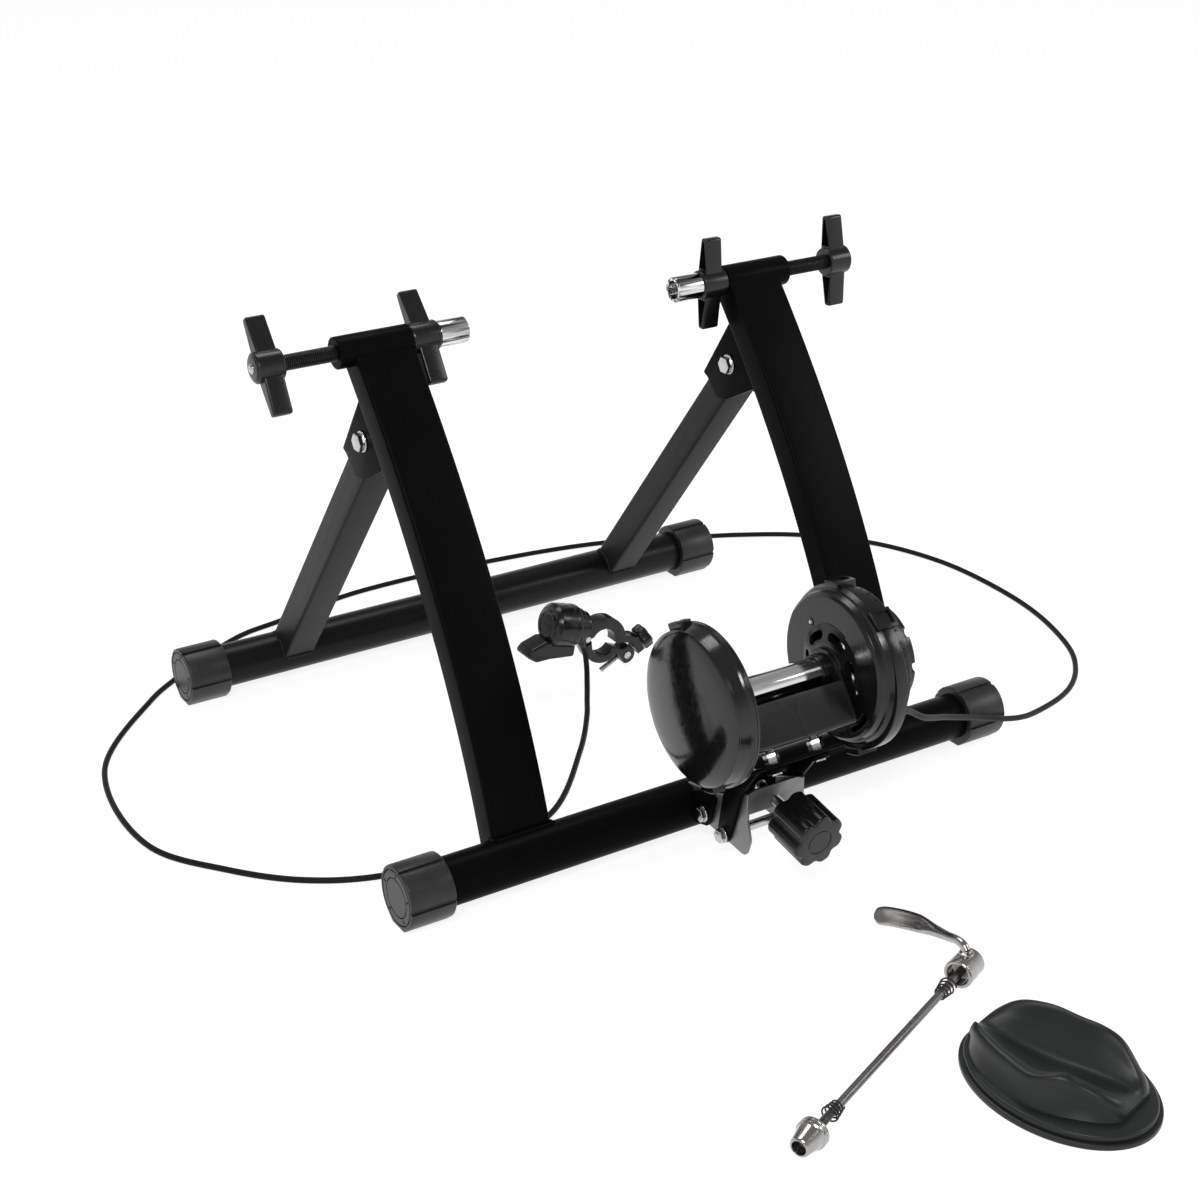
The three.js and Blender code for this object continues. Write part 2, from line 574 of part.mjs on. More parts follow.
const screwMouth = [0, zinc.frontY + zinc.plate / 2, tension.wallZ];
const padFront = (tongue.y - fit.seat - screwMouth[1]) / Math.cos(slope);
const padBack = padFront - pad.length;
const knobBack = -tensionKnob.back;
const padProfile = [
  [0, padFront], [pad.nose / 4, padFront - pad.dome / 4], [pad.nose / 2, padFront - pad.dome],
  [pad.diameter / 2, padFront - pad.noseLength], [pad.diameter / 2, padBack], [0, padBack],
];
add(part, "tension_pad", aim(revolve(padProfile, round.bolt), screwHeading, screwMouth), "chrome");
const screwTip = padBack - fit.seat;
const screwTail = knobBack - tensionKnob.length / 2;
const tensionRod = rod(tension.diameter / 2, screwTail, screwTip, round.bolt);
add(part, "tension_screw", aim(tensionRod, screwHeading, screwMouth), "chrome");

function tensionKnobBody() {
  const grip = extrude(lobedShape(tensionKnob.radius, tensionKnob.lobes, tensionKnob.lobeDepth),
    tensionKnob.length, tensionKnob.edge).rotateY(-Math.PI / 2).translate(knobBack, 0, 0);
  const bore = rod(tension.diameter / 2 + fit.seat, screwTail - fit.seat, fit.overrun);
  return cut(grip, bore);
}

add(part, "tension_knob", aim(tensionKnobBody(), screwHeading, screwMouth), "plastic");

// Resistance unit, in its own leaned axes: X as before, Y along the trough's floor, Z to the wheel

const unitGroup = new THREE.Group();
unitGroup.position.set(0, unit.y, unit.z);
unitGroup.rotation.x = -toRadians(unit.lean);
part.add(unitGroup);
const unitLean = toRadians(unit.lean);

function inUnit(y, z) {
  const [dy, dz] = [y - unit.y, z - unit.z];
  return [
    dy * Math.cos(unitLean) - dz * Math.sin(unitLean),
    dy * Math.sin(unitLean) + dz * Math.cos(unitLean),
  ];
}

const studHoleFrom = arm.top - arm.plate - fit.overrun;
const studHoleTo = trough.bottom + trough.wall + fit.overrun;
const studHoles = [-1, 1].map((way) => rod(stud.diameter / 2 + fit.seat, studHoleFrom, studHoleTo)
  .rotateY(-Math.PI / 2).translate(way * stud.spread, stud.v, 0));

function troughBody() {
  const half = trough.length / 2;
  const [low, high] = [trough.bottom, trough.top];
  const outside = block([-half, -trough.halfWidth, low], [half, trough.halfWidth, high]);
  const inside = block([-half - fit.overrun, -trough.halfWidth + trough.wall, low + trough.wall],
    [half + fit.overrun, trough.halfWidth - trough.wall, high + fit.overrun]);
  const channel = cut(outside, inside);
  const endShape = new THREE.Shape();
  endShape.moveTo(-trough.halfWidth, low);
  endShape.lineTo(trough.halfWidth, low);
  endShape.lineTo(trough.halfWidth, high);
  endShape.absarc(0, 0, trough.crown, 0, Math.PI);
  endShape.lineTo(-trough.halfWidth, high);
  endShape.closePath();
  const ends = [[-half - trough.plate, -half], [half, half + trough.plate]].map(
    ([from, to]) => slab(endShape, from, to, 0, 12));
  const reach = half + trough.plate + fit.overrun;
  const bore = rod(bearing.outer / 2 + fit.seat, -reach, reach, round.tube);
  return cut(join(channel, ...ends), bore, ...studHoles);
}

add(unitGroup, "roller_trough", troughBody(), "paint");

// Studs: bolt head under the arm's plate, a long hexagon between plate and trough
function studBody(way) {
  const below = arm.top - arm.plate - fit.seat;
  const spacer = hexagon(stud.across, arm.top + fit.seat, trough.bottom - fit.seat);
  const head = hexagon(stud.across, below - stud.head, below);
  const tip = trough.bottom + trough.wall + stud.head / 2;
  const shank = rod(stud.diameter / 2, below - stud.head / 2, tip);
  return join(shank, spacer, head).rotateY(-Math.PI / 2).translate(way * stud.spread, stud.v, 0);
}

add(unitGroup, "left_stud", studBody(-1), "chrome");
add(unitGroup, "right_stud", studBody(1), "chrome");

// Swing arm: plate under the trough, two cheeks to the pivot bolt and a tongue for the tension pad
function swingArm() {
  const under = arm.top - arm.plate;
  const vAt = (y, w) => {
    const dy = y - unit.y;
    const dz = (w - dy * Math.sin(unitLean)) / Math.cos(unitLean);
    return dy * Math.cos(unitLean) - dz * Math.sin(unitLean);
  };
  const rear = vAt(tongue.y, under);
  const waist = arm.headRear + (arm.headHalf - arm.bodyHalf);
  const plan = rounded([
    [-arm.headHalf, arm.headFront, armBend.head], [arm.headHalf, arm.headFront, armBend.head],
    [arm.headHalf, arm.headRear, armBend.waist], [arm.bodyHalf, waist, armBend.waist],
    [arm.bodyHalf, rear], [-arm.bodyHalf, rear],
    [-arm.bodyHalf, waist, armBend.waist], [-arm.headHalf, arm.headRear, armBend.waist],
  ]);
  const plate = extrude(plan, arm.plate).translate(0, 0, under);
  const [pivotV, pivotW] = inUnit(unitPivot.y, unitPivot.z);
  const cheek = rounded([
    [armCheek.front, under + fit.weld], [armCheek.kneeV, armCheek.kneeW, armBend.knee],
    [armCheek.shinV, armCheek.shinW, armBend.knee],
    [pivotV - armCheek.lobe, pivotW - armCheek.lobe / 2, armBend.lobe],
    [pivotV, pivotW - armCheek.lobe, armBend.lobe],
    [pivotV + armCheek.lobe, pivotW - armCheek.lobe / 3, armBend.lobe],
    [pivotV + armCheek.lobe / 2, pivotW + armCheek.lobe, armBend.heel],
    [armCheek.rear, under + fit.weld],
  ]);
  const outer = ear.inner + ear.plate;
  const cheeks = [[-outer, -ear.inner], [ear.inner, outer]].map(([from, to]) => slab(cheek, from, to));
  const tongueCorners = [
    inUnit(tongue.y, tongue.bottomZ), inUnit(tongue.y + tongue.thickness, tongue.bottomZ),
    [vAt(tongue.y + tongue.thickness, arm.top), arm.top], [rear - fit.lap, arm.top],
    [rear - fit.lap, under], [rear, under],
  ];
  const lip = slab(new THREE.Shape(tongueCorners.map((corner) => new THREE.Vector2(...corner))),
    -tongue.halfWidth, tongue.halfWidth);
  const reach = outer + fit.overrun;
  const hole = rod(ear.bolt / 2 + fit.seat, -reach, reach).translate(0, pivotV, pivotW);
  return cut(join(plate, lip, ...cheeks), hole, ...studHoles);
}

add(unitGroup, "swing_arm", swingArm(), "paint");

// Roller, shaft, flywheel and rotor turn together
const rollerHalf = roller.length / 2;
const shaftBore = roller.shaft / 2 + fit.seat;
const shaftLeft = -(flywheel.from + flywheel.thickness + fit.lap);
const shaftRight = rotor.from + rotor.thickness + fit.lap;
const shaft = roller.shaft / 2;
const rollerProfile = [
  [0, shaftLeft], [shaft, shaftLeft], [shaft, -rollerHalf], [roller.diameter / 2, -rollerHalf],
  [roller.diameter / 2, rollerHalf], [shaft, rollerHalf], [shaft, rotor.from], [rotor.radius, rotor.from],
  [rotor.radius, rotor.from + rotor.thickness], [shaft, rotor.from + rotor.thickness],
  [shaft, shaftRight], [0, shaftRight],
];
add(unitGroup, "roller", revolve(rollerProfile, round.tube), "chrome");
const flywheelBody = revolve([
  [shaftBore, -flywheel.from - flywheel.thickness], [flywheel.radius, -flywheel.from - flywheel.thickness],
  [flywheel.radius, -flywheel.from], [shaftBore, -flywheel.from],
], round.wheel, true);
add(unitGroup, "flywheel", flywheelBody, "chrome");

// Bearings in the trough's end plates
for (const [hand, side] of Object.entries(sides)) {
  const from = rollerHalf + roller.collarLength;
  const body = ring(bearing.outer / 2, shaftBore, from, from + bearing.width, round.tube).scale(side, 1, 1);
  add(unitGroup, `${hand}_bearing`, body, "chrome");
}

// Arc-shaped tool between two radii, through a stretch of X
function arcTool(inner, outer, start, arc, from, to) {
  const [first, last] = [toRadians(start), toRadians(start + arc)];
  const shape = new THREE.Shape();
  shape.absarc(0, 0, outer, first, last);
  shape.absarc(0, 0, inner, last, first, true);
  shape.closePath();
  return slab(shape, from, to, 0, 2);
}

// Arc slots, clips and lugs are placed by their angles about the roller from level to the rear
const levelTurn = unit.lean;

// Left cover: domed cap whose rim widens towards the roller, closed by a dished back plate
function coverBody() {
  const domeDrop = cover.crownX - cover.shoulderX;
  const outer = [
    ...domeShares.map(([out, down]) => [cover.shoulder * out, cover.crownX - domeDrop * down]),
    [cover.shoulder, cover.shoulderX], [cover.rim, cover.rimX],
  ];
  const inner = outer.map(([radius, along]) => [
    Math.max(radius - cover.wall, 0), along === cover.rimX ? along : along - cover.wall,
  ]).reverse();
  const dome = revolve([...outer, ...inner], round.wheel);
  const clips = coverClips.map((angle) =>
    arcTool(cover.rim - cover.wall, cover.rim + clip.height / 2, angle + levelTurn - clip.arc,
      2 * clip.arc, cover.rimX, cover.rimX + clip.length));
  return join(dome, ...clips).scale(-1, 1, 1);
}

add(unitGroup, "flywheel_cover", coverBody(), "plastic");

function coverBackBody() {
  const edgeFrom = cover.rimX - fit.seat;
  const edgeTo = edgeFrom - coverBack.thickness;
  const hubTo = trough.length / 2 + trough.plate + fit.seat;
  const bore = bearing.outer / 2 + 2 * fit.seat;
  const hubFrom = hubTo + coverBack.thickness;
  return revolve([
    [bore, hubFrom], [coverBack.dish, hubFrom], [coverBack.dish + coverBack.thickness, edgeFrom],
    [cover.rim, edgeFrom], [cover.rim, edgeTo], [coverBack.dish + 2 * coverBack.thickness, edgeTo],
    [coverBack.dish + coverBack.thickness, hubTo], [bore, hubTo],
  ], round.wheel, true).scale(-1, 1, 1);
}

add(unitGroup, "cover_back_plate", coverBackBody(), "plastic");

// Magnet housing: front shell with its slotted face, rear shell stepping down to the dial
function frontShell() {
  const bore = bearing.outer / 2 + 2 * fit.seat;
  const edge = shell.wall;
  const body = revolve([
    [bore, shell.bossX], [shell.boss, shell.bossX], [shell.boss + edge, shell.faceX],
    [shell.face - edge, shell.faceX], [shell.face, shell.faceX + edge / 2], [shell.seam, shell.seamX],
    [shell.seam - edge, shell.seamX], [shell.face - edge, shell.faceX + edge], [bore, shell.faceX + edge],
  ], round.wheel, true);
  const slots = Array.from({ length: slot.count }, (_, k) =>
    arcTool(slot.inner, slot.outer, slot.first + levelTurn + k * slot.pitch, slot.arc,
      shell.bossX, shell.faceX + edge + fit.overrun));
  const long = arcTool(longSlot.inner, longSlot.outer, longSlot.first + levelTurn, longSlot.arc,
    shell.bossX, shell.faceX + edge + fit.overrun);
  return cut(body, ...slots, long);
}

function rearShellBody() {
  const edge = shell.wall;
  const start = shell.seamX + fit.seat;
  const body = revolve([
    [shell.seam, start], [rearShell.lip, start + edge], [rearShell.lip, rearShell.lipX],
    [rearShell.waist, rearShell.lipX + edge], [rearShell.waist, rearShell.waistX],
    [rearShell.neck, rearShell.waistX + edge], [rearShell.neck, rearShell.neckX],
    [0, rearShell.neckX], [0, rearShell.neckX - edge], [rearShell.neck - edge, rearShell.neckX - edge],
    [rearShell.neck - edge, rearShell.waistX + edge], [rearShell.waist - edge, rearShell.waistX],
    [rearShell.waist - edge, rearShell.lipX + edge], [rearShell.lip - edge, rearShell.lipX],
    [rearShell.lip - edge, start + edge], [shell.seam - edge, start], [shell.seam, start],
  ], round.wheel);
  const clips = shellClips.map((angle) =>
    arcTool(rearShell.lip - edge, rearShell.lip + clip.height / 2, angle + levelTurn - clip.arc / 2,
      clip.arc, start + edge, start + edge + clip.length / 2));
  const spigotTo = dial.from + dial.thickness - dial.edge;
  const spigot = rod(dial.hub, rearShell.neckX - fit.weld, spigotTo, round.grip);
  return join(body, spigot, ...clips);
}

add(unitGroup, "magnet_front_shell", frontShell(), "plastic");
add(unitGroup, "magnet_rear_shell", rearShellBody(), "plastic");

function dialBody() {
  const [from, to] = [dial.from, dial.from + dial.thickness];
  const bore = dial.hub + fit.seat;
  const disc = revolve([
    [bore, from], [dial.radius - dial.edge, from], [dial.radius, from + dial.edge],
    [dial.radius, to - dial.edge], [dial.radius - dial.edge, to], [bore, to],
  ], round.wheel, true);
  const notches = Array.from({ length: dial.notches }, (_, k) =>
    rod(dial.notch / 2, from - fit.overrun, to + fit.overrun, 8).translate(0, dial.radius, 0)
      .rotateX((k / dial.notches) * 2 * Math.PI));
  return cut(disc, ...notches);
}

add(unitGroup, "magnet_dial", dialBody(), "plastic");

// Cable gland on the housing's neck
const glandAngle = toRadians(gland.angle);
const glandLift = gland.radius * Math.sin(Math.acos(gland.aim[0] / Math.hypot(...gland.aim)));
const glandBase = [
  rearShell.neckX + fit.seat + glandLift,
  unit.y + (gland.reach - gland.radius) * Math.cos(glandAngle),
  unit.z + (gland.reach - gland.radius) * Math.sin(glandAngle),
];
const glandProfile = [[0, 0], [gland.radius, 0], [gland.neck, gland.length], [0, gland.length]];
add(part, "cable_gland", aim(revolve(glandProfile, round.bolt), gland.aim, glandBase), "plastic");

// Shifter: a barrel with its thumb lever, on a hinged ring clamp that a thumb screw closes

const screwLean = toRadians(screw.lean);
const along = (t, side) => [
  crossPin.x + t * Math.cos(screwLean) - side * Math.sin(screwLean),
  crossPin.z + t * Math.sin(screwLean) + side * Math.cos(screwLean),
];
const tail = along(-screw.tail, 0);
const shifterGroup = new THREE.Group();
shifterGroup.position.set(shifter.x, shifter.y, -(tail[1] - (screw.diameter / 2) * Math.cos(screwLean)));
part.add(shifterGroup);
const screwAim = [Math.cos(screwLean), 0, Math.sin(screwLean)];
const screwAt = [crossPin.x, 0, crossPin.z];
const barrelLean = toRadians(barrel.lean);
const barrelAim = [-Math.cos(barrelLean), 0, Math.sin(barrelLean)];
const barrelAt = [barrel.baseX, 0, barrel.baseZ];

function barrelProfile(grow) {
  const run = barrelRun;
  return [
    [0, -fit.lap - grow], [barrel.neck + grow, -fit.lap - grow], [barrel.neck + grow, run.collar - grow],
    [barrel.collar + grow, run.collar], [barrel.collar + grow, run.drum - grow],
    [barrel.radius + grow, run.shoulder - grow],
    [barrel.radius + grow, run.rim + grow], [run.cap + grow, run.face - run.capThickness + grow],
    [run.cap - fit.lap + grow, run.face + grow], [0, run.face + grow],
  ];
}

// Fixed half of the clamp: barrel, arch over the handlebar and the boss under the thumb knob
function shifterBody() {
  const outline = new THREE.Shape();
  outline.moveTo(barrel.baseX, barrel.baseZ + barrel.neck);
  outline.absarc(0, 0, shifter.arch, ...archArcs.outside.map(toRadians), true);
  outline.lineTo(...along(screwBoss.to, screwBoss.half));
  outline.lineTo(...along(screwBoss.to, -screwBoss.half));
  outline.lineTo(...along(screwBoss.from, -screwBoss.half));
  outline.lineTo(...along(screwBoss.from, screwBoss.throat));
  outline.absarc(0, 0, shifter.hole, ...archArcs.hole.map(toRadians), false);
  outline.absarc(jawPin.x, jawPin.z, jawPin.eye, ...archArcs.eye.map(toRadians), true);
  outline.lineTo(barrel.baseX - jawPin.eye, barrel.baseZ);
  outline.closePath();
  const arch = leaf(outline, shifter.thickness, shifter.edge, 5);
  const body = aim(revolve(barrelProfile(0), round.tube), barrelAim, barrelAt);
  const hole = aim(rod(screw.diameter / 2 + fit.seat, 0, screwBoss.to + fit.overrun), screwAim, screwAt);
  const fork = leaf(new THREE.Shape().absarc(jawPin.x, jawPin.z, jawPin.eye + fit.seat, 0, 2 * Math.PI),
    shifter.thickness / 2 + 2 * fit.seat, 0, 8);
  const pinHole = rod(jawPin.radius + fit.seat, -shifter.thickness, shifter.thickness, round.bolt)
    .rotateZ(Math.PI / 2).translate(jawPin.x, 0, jawPin.z);
  const { radius, tip, length } = cableBoss;
  const bossBody = revolve([[0, 0], [radius, 0], [tip, length], [0, length]], round.bolt);
  const boss = aim(bossBody, cableBoss.aim, cableBoss.place);
  return join(cut(join(arch, body), hole, fork, pinHole), boss);
}

add(shifterGroup, "shifter_body", shifterBody(), "plastic");

// Thumb lever: a paddle saddled under the barrel, from the drum to beyond its face
const leverEdgeShares = [
  [-0.4, -0.053, 0.035], [-0.693, -0.024, 0.118], [-0.85, -0.031, 0.071], [-1, 0.093, 0.047],
  [-0.919, 0.181, 0.047], [-0.732, 0.241, 0.047], [-0.366, 0.118, 0.047],
];

function leverBody() {
  const corners = leverEdgeShares.map((corner) => corner.map((share) => share * lever.reach));
  const paddle = leaf(rounded(corners), 2 * lever.halfWidth, lever.edge, 5);
  const room = aim(revolve(barrelProfile(fit.seat), round.tube), barrelAim, barrelAt);
  return cut(paddle, room);
}

add(shifterGroup, "shifter_lever", leverBody(), "plastic");

// Hinged jaw under the handlebar, with the lug that the thumb screw pulls up
function jawBody() {
  const outline = new THREE.Shape();
  outline.absarc(jawPin.x, jawPin.z, jawPin.eye, ...jawArcs.eye.map(toRadians), false);
  outline.absarc(0, 0, shifter.jaw, ...jawArcs.outside.map(toRadians), false);
  outline.absarc(crossPin.x, crossPin.z, crossPin.lug, ...jawArcs.lug.map(toRadians), false);
  outline.absarc(0, 0, shifter.hole, ...jawArcs.hole.map(toRadians), true);
  outline.closePath();
  const body = leaf(outline, shifter.thickness, shifter.edge, 5);
  const eyeSides = [-1, 1].map((way) => {
    const reach = jawPin.eye + shifter.edge + fit.seat;
    const from = way < 0 ? -shifter.thickness : shifter.thickness / 4;
    const to = way < 0 ? -shifter.thickness / 4 : shifter.thickness;
    return leaf(new THREE.Shape().absarc(jawPin.x, jawPin.z, reach, 0, 2 * Math.PI), to - from, 0, 8)
      .translate(0, (from + to) / 2, 0);
  });
  const pinHole = rod(jawPin.radius + fit.seat, -shifter.thickness, shifter.thickness, round.bolt)
    .rotateZ(Math.PI / 2).translate(jawPin.x, 0, jawPin.z);
  const slotTool = aim(block([-screw.tail, -crossPin.slotHalf, -crossPin.slotHalf],
    [screw.tail, crossPin.slotHalf, crossPin.slotHalf + crossPin.play]), screwAim, screwAt);
  const crossHole = rod(crossPin.radius + fit.seat, -shifter.thickness, shifter.thickness, round.bolt)
    .rotateZ(Math.PI / 2).translate(crossPin.x, 0, crossPin.z);
  return cut(body, ...eyeSides, pinHole, slotTool, crossHole);
}

add(shifterGroup, "shifter_jaw", jawBody(), "plastic");

const pinReach = shifter.thickness / 2 + crossPin.proud;
const hingePin = rod(jawPin.radius, -jawPin.reach, jawPin.reach, round.bolt).rotateZ(Math.PI / 2);
add(shifterGroup, "jaw_hinge_pin", hingePin.translate(jawPin.x, 0, jawPin.z), "chrome");
for (const [name, way] of [["front", -1], ["rear", 1]]) {
  const from = crossPin.slotHalf + fit.seat;
  const stub = rod(crossPin.radius, from, pinReach, round.bolt).rotateZ(way * (Math.PI / 2));
  add(shifterGroup, `cross_pin_${name}`, stub.translate(crossPin.x, 0, crossPin.z), "chrome");
}

const thumbFrom = screwBoss.to + fit.seat;
add(shifterGroup, "thumb_screw",
  aim(rod(screw.diameter / 2, -screw.tail, thumbFrom + thumb.sink, round.bolt), screwAim, screwAt), "chrome");

function thumbKnobBody() {
  const grip = extrude(lobedShape(thumb.radius, thumb.lobes, thumb.lobeDepth, 5), thumb.thickness, thumb.edge)
    .rotateY(Math.PI / 2).translate(thumbFrom, 0, 0);
  return cut(grip, rod(screw.diameter / 2 + fit.seat, 0, thumbFrom + thumb.sink + fit.seat, round.bolt));
}

add(shifterGroup, "thumb_knob", aim(thumbKnobBody(), screwAim, screwAt), "plastic");

// Cable: from the housing's gland round behind the frame and back under it to the shifter's boss
function beyond(place, aimed, distance) {
  return place.map((value, k) => value + (aimed[k] * distance) / Math.hypot(...aimed));
}

const shifterAt = shifterGroup.position.toArray();
const cableStart = beyond(glandBase, gland.aim, gland.length + fit.seat);
const bossAt = cableBoss.place.map((value, k) => value + shifterAt[k]);
const cableEnd = beyond(bossAt, cableBoss.aim, cableBoss.length + fit.seat);
const cablePoints = [
  cableStart, [121, -87.2, 102], [142, -79, 87.5], [184, -57, 66], [208, -48, 55], [239, -39, 42],
  [269, -34, 30], [294, -29, 22], [317, -21, 16], [369, 0, 8], [401, 19, 4.5], [428, 43, 2.6],
  [450, 73, 2.6], [476, 141, 2.6], [486, 209, 2.6], [482, 294, 2.6], [454, 369, 2.6], [404, 426, 2.6],
  [353, 459, 2.6], [325, 473, 2.6], [220, 519, 2.6], [97, 541, 2.6], [-20, 546, 2.6], [-67, 542, 2.6],
  [-137, 525, 2.6], [-184, 514, 2.6], [-271, 460, 2.6], [-303, 433, 2.6], [-380, 336, 2.6], [-393, 200, 2.6],
  [-356, 137, 2.6], [-313, 92, 2.6], [-262, 66, 2.6], [-171, 58, 2.6], [-107, 75, 2.6], [-31, 152, 2.6],
  [8, 204, 2.6], [21.9, 226.3, 3.6], [28.7, 237.1, 7], [33.7, 245.3, 11.8], [37.8, 252.2, 17.5],
  [40.3, 257.3, 23.3], [40.6, 259.4, 30], cableEnd,
];
const cableCurve = new THREE.CatmullRomCurve3(cablePoints.map((point) => new THREE.Vector3(...point)));
cableCurve.arcLengthDivisions = 2000;
add(part, "cable", hose(cableCurve, cable.diameter / 2, cable.sides, cable.steps), "rubber");

// Skewer: lies on its cam head and nut, drawn along +X from the head's far end

const skewerGroup = new THREE.Group();
skewerGroup.position.set(skewer.headX, skewer.headY, skewer.rest);
skewerGroup.rotation.z = toRadians(skewer.heading);
part.add(skewerGroup);

function skewerHeadBody() {
  const { length, wall, cup, edge } = skewerHead;
  const radius = skewer.rest;
  const solid = revolve([
    [0, 0], [radius - edge, 0], [radius, edge], [radius, length - edge / 2], [radius - edge / 2, length],
    [radius - wall, length], [radius - wall - edge / 2, length - cup], [0, length - cup],
  ], round.tube);
  const { pin, place, sink } = skewerLever;
  const socket = rod(pin + fit.seat, radius - sink - fit.seat, radius + fit.overrun)
    .rotateY(-Math.PI / 2).translate(place, 0, 0);
  return cut(solid, socket, rod(skewer.rod / 2 + fit.seat, length / 2 + fit.lap, length + fit.overrun));
}

add(skewerGroup, "skewer_head", skewerHeadBody(), "chrome");
const rodFrom = skewerHead.length / 2 + fit.lap + fit.seat;
const rodTo = skewer.length - skewerNut.depth - fit.lap;
add(skewerGroup, "skewer_rod", rod(skewer.rod / 2, rodFrom, rodTo, round.bolt), "chrome");

function skewerNutBody() {
  const { ringLength, tip, length, mouth, depth } = skewerNut;
  const ringRadius = skewer.rest;
  const from = skewer.length - length;
  const bore = skewer.rod / 2 + fit.seat;
  return revolve([
    [bore, from], [ringRadius - fit.lap, from], [ringRadius, from + fit.lap],
    [ringRadius, from + ringLength - fit.lap], [ringRadius - fit.lap, from + ringLength],
    [tip, from + length - fit.lap], [tip - fit.lap, from + length],
    [mouth, from + length], [mouth - fit.lap, from + length - depth], [bore, from + length - depth],
  ], round.tube, true);
}

add(skewerGroup, "skewer_nut", skewerNutBody(), "chrome");

// Lever: its pin turns in the head's top, and the stalk bends over and back into a spoon

// Each station: place along and across the skewer as shares of the lever's reach, height as a share
// of its rise, and how far the section has gone from the round stalk to the flat blade
const leverStationShares = [
  [0, -0.003, 0.87, 0], [-0.015, -0.037, 0.975, 0], [-0.043, -0.1, 1, 0], [-0.09, -0.215, 0.914, 0.05],
  [-0.15, -0.36, 0.82, 0.3], [-0.232, -0.547, 0.672, 0.9], [-0.29, -0.73, 0.5, 1], [-0.318, -0.9, 0.345, 1],
  [-0.3, -0.985, 0.27, 0.7],
];
const leverNormal = new THREE.Vector3(...bladeFacing).normalize();

// Sweeps an ellipse along stations; each gives its centre, half width and half thickness
function loftAlong(stations, normal, pointsRound) {
  const centres = new THREE.CatmullRomCurve3(stations.map(({ centre }) => centre));
  const positions = [];
  const index = [];
  stations.forEach(({ centre, wide, thick }, k) => {
    const along = centres.getTangent(k / (stations.length - 1));
    const across = normal.clone().addScaledVector(along, -normal.dot(along)).normalize();
    const through = along.clone().cross(across);
    for (let m = 0; m < pointsRound; m += 1) {
      const angle = (m / pointsRound) * 2 * Math.PI;
      const point = centre.clone().addScaledVector(across, wide * Math.cos(angle))
        .addScaledVector(through, thick * Math.sin(angle));
      positions.push(point.x, point.y, point.z);
      const [a, b] = [k * pointsRound + m, k * pointsRound + (m + 1) % pointsRound];
      if (k < stations.length - 1) index.push(a, b, a + pointsRound, b, b + pointsRound, a + pointsRound);
    }
  });
  const last = (stations.length - 1) * pointsRound;
  for (let m = 1; m < pointsRound - 1; m += 1) index.push(0, m + 1, m, last, last + m, last + m + 1);
  const geometry = new THREE.BufferGeometry();
  geometry.setAttribute("position", new THREE.Float32BufferAttribute(positions, 3));
  geometry.setIndex(index);
  return geometry;
}

function skewerLeverBody() {
  const { pin, place, stalk, reach, rise, sink } = skewerLever;
  const stations = leverStationShares.map(([along, across, high, flat]) => ({
    centre: new THREE.Vector3(place + along * reach, across * reach, high * rise - skewer.rest),
    wide: stalk + (skewerBlade.halfWidth - stalk) * flat,
    thick: stalk + (skewerBlade.halfThickness - stalk) * flat,
  }));
  const foot = stations[0].centre.z;
  const pinBody = rod(pin, skewer.rest - sink, foot + fit.lap).rotateY(-Math.PI / 2).translate(place, 0, 0);
  return join(loftAlong(stations, leverNormal, 10), pinBody);
}

add(skewerGroup, "skewer_lever", skewerLeverBody(), "chrome");

class ConicalHelix extends THREE.Curve {
  constructor({ wide, narrow, length, curls }) {
    super();
    this.size = { wide, narrow, length, curls };
  }

  getPoint(share, target = new THREE.Vector3()) {
    const { wide, narrow, length, curls } = this.size;
    const radius = wide + (narrow - wide) * share;
    const angle = share * curls * 2 * Math.PI;
    return target.set(share * length, radius * Math.cos(angle), radius * Math.sin(angle));
  }
}

const stepsPerCurl = 8;
const sidesOfWire = 5;
const helix = new ConicalHelix(spring);
const helixSteps = spring.curls * stepsPerCurl;

// Least clear distance between stretches of the spring at least half a curl apart
function leastSelfGap(curve, steps, apart) {
  const points = Array.from({ length: steps + 1 }, (_, k) => curve.getPoint(k / steps));
  let least = Infinity;
  points.forEach((one, k) => points.slice(k + apart).forEach((two) => {
    least = Math.min(least, one.distanceTo(two) - spring.wire);
  }));
  return least;
}

console.log(`spring: least gap to itself ${leastSelfGap(helix, helixSteps, stepsPerCurl / 2).toFixed(2)} mm`);

function springBody() {
  return hose(helix, spring.wire / 2, sidesOfWire, helixSteps);
}

const springHeadEnd = skewerHead.length + spring.nearHead;
const springNutEnd = skewer.length - skewerNut.length - spring.nearNut;
add(skewerGroup, "head_spring", springBody().translate(springHeadEnd, 0, 0), "chrome");
add(skewerGroup, "nut_spring", springBody().scale(-1, 1, 1).translate(springNutEnd, 0, 0), "chrome");

// Riser block: stepped oval flange and a lofted saddle with a lengthwise wheel channel

// Each station: place along the block, front crest, channel and back crest across it, and their
// heights, all as shares of the block's half length, half width and height
const riserStationShares = [
  [-0.97, -0.2, 0.5, -0.05, 0.5, 0.1, 0.5],
  [-0.9, -0.3, 0.74, -0.1, 0.74, 0.34, 0.84],
  [-0.7, -0.5, 0.76, -0.08, 0.7, 0.52, 0.98],
  [-0.35, -0.7, 0.73, -0.04, 0.6, 0.56, 1],
  [0, -0.84, 0.75, 0, 0.56, 0.56, 1],
  [0.3, -0.72, 0.85, 0.04, 0.56, 0.56, 1],
  [0.5, -0.6, 0.74, 0.07, 0.55, 0.54, 0.9],
  [0.75, -0.5, 0.62, 0.1, 0.52, 0.42, 0.66],
  [0.9, -0.36, 0.5, 0.1, 0.45, 0.3, 0.48],
  [0.97, -0.2, 0.3, 0.05, 0.3, 0.2, 0.3],
];

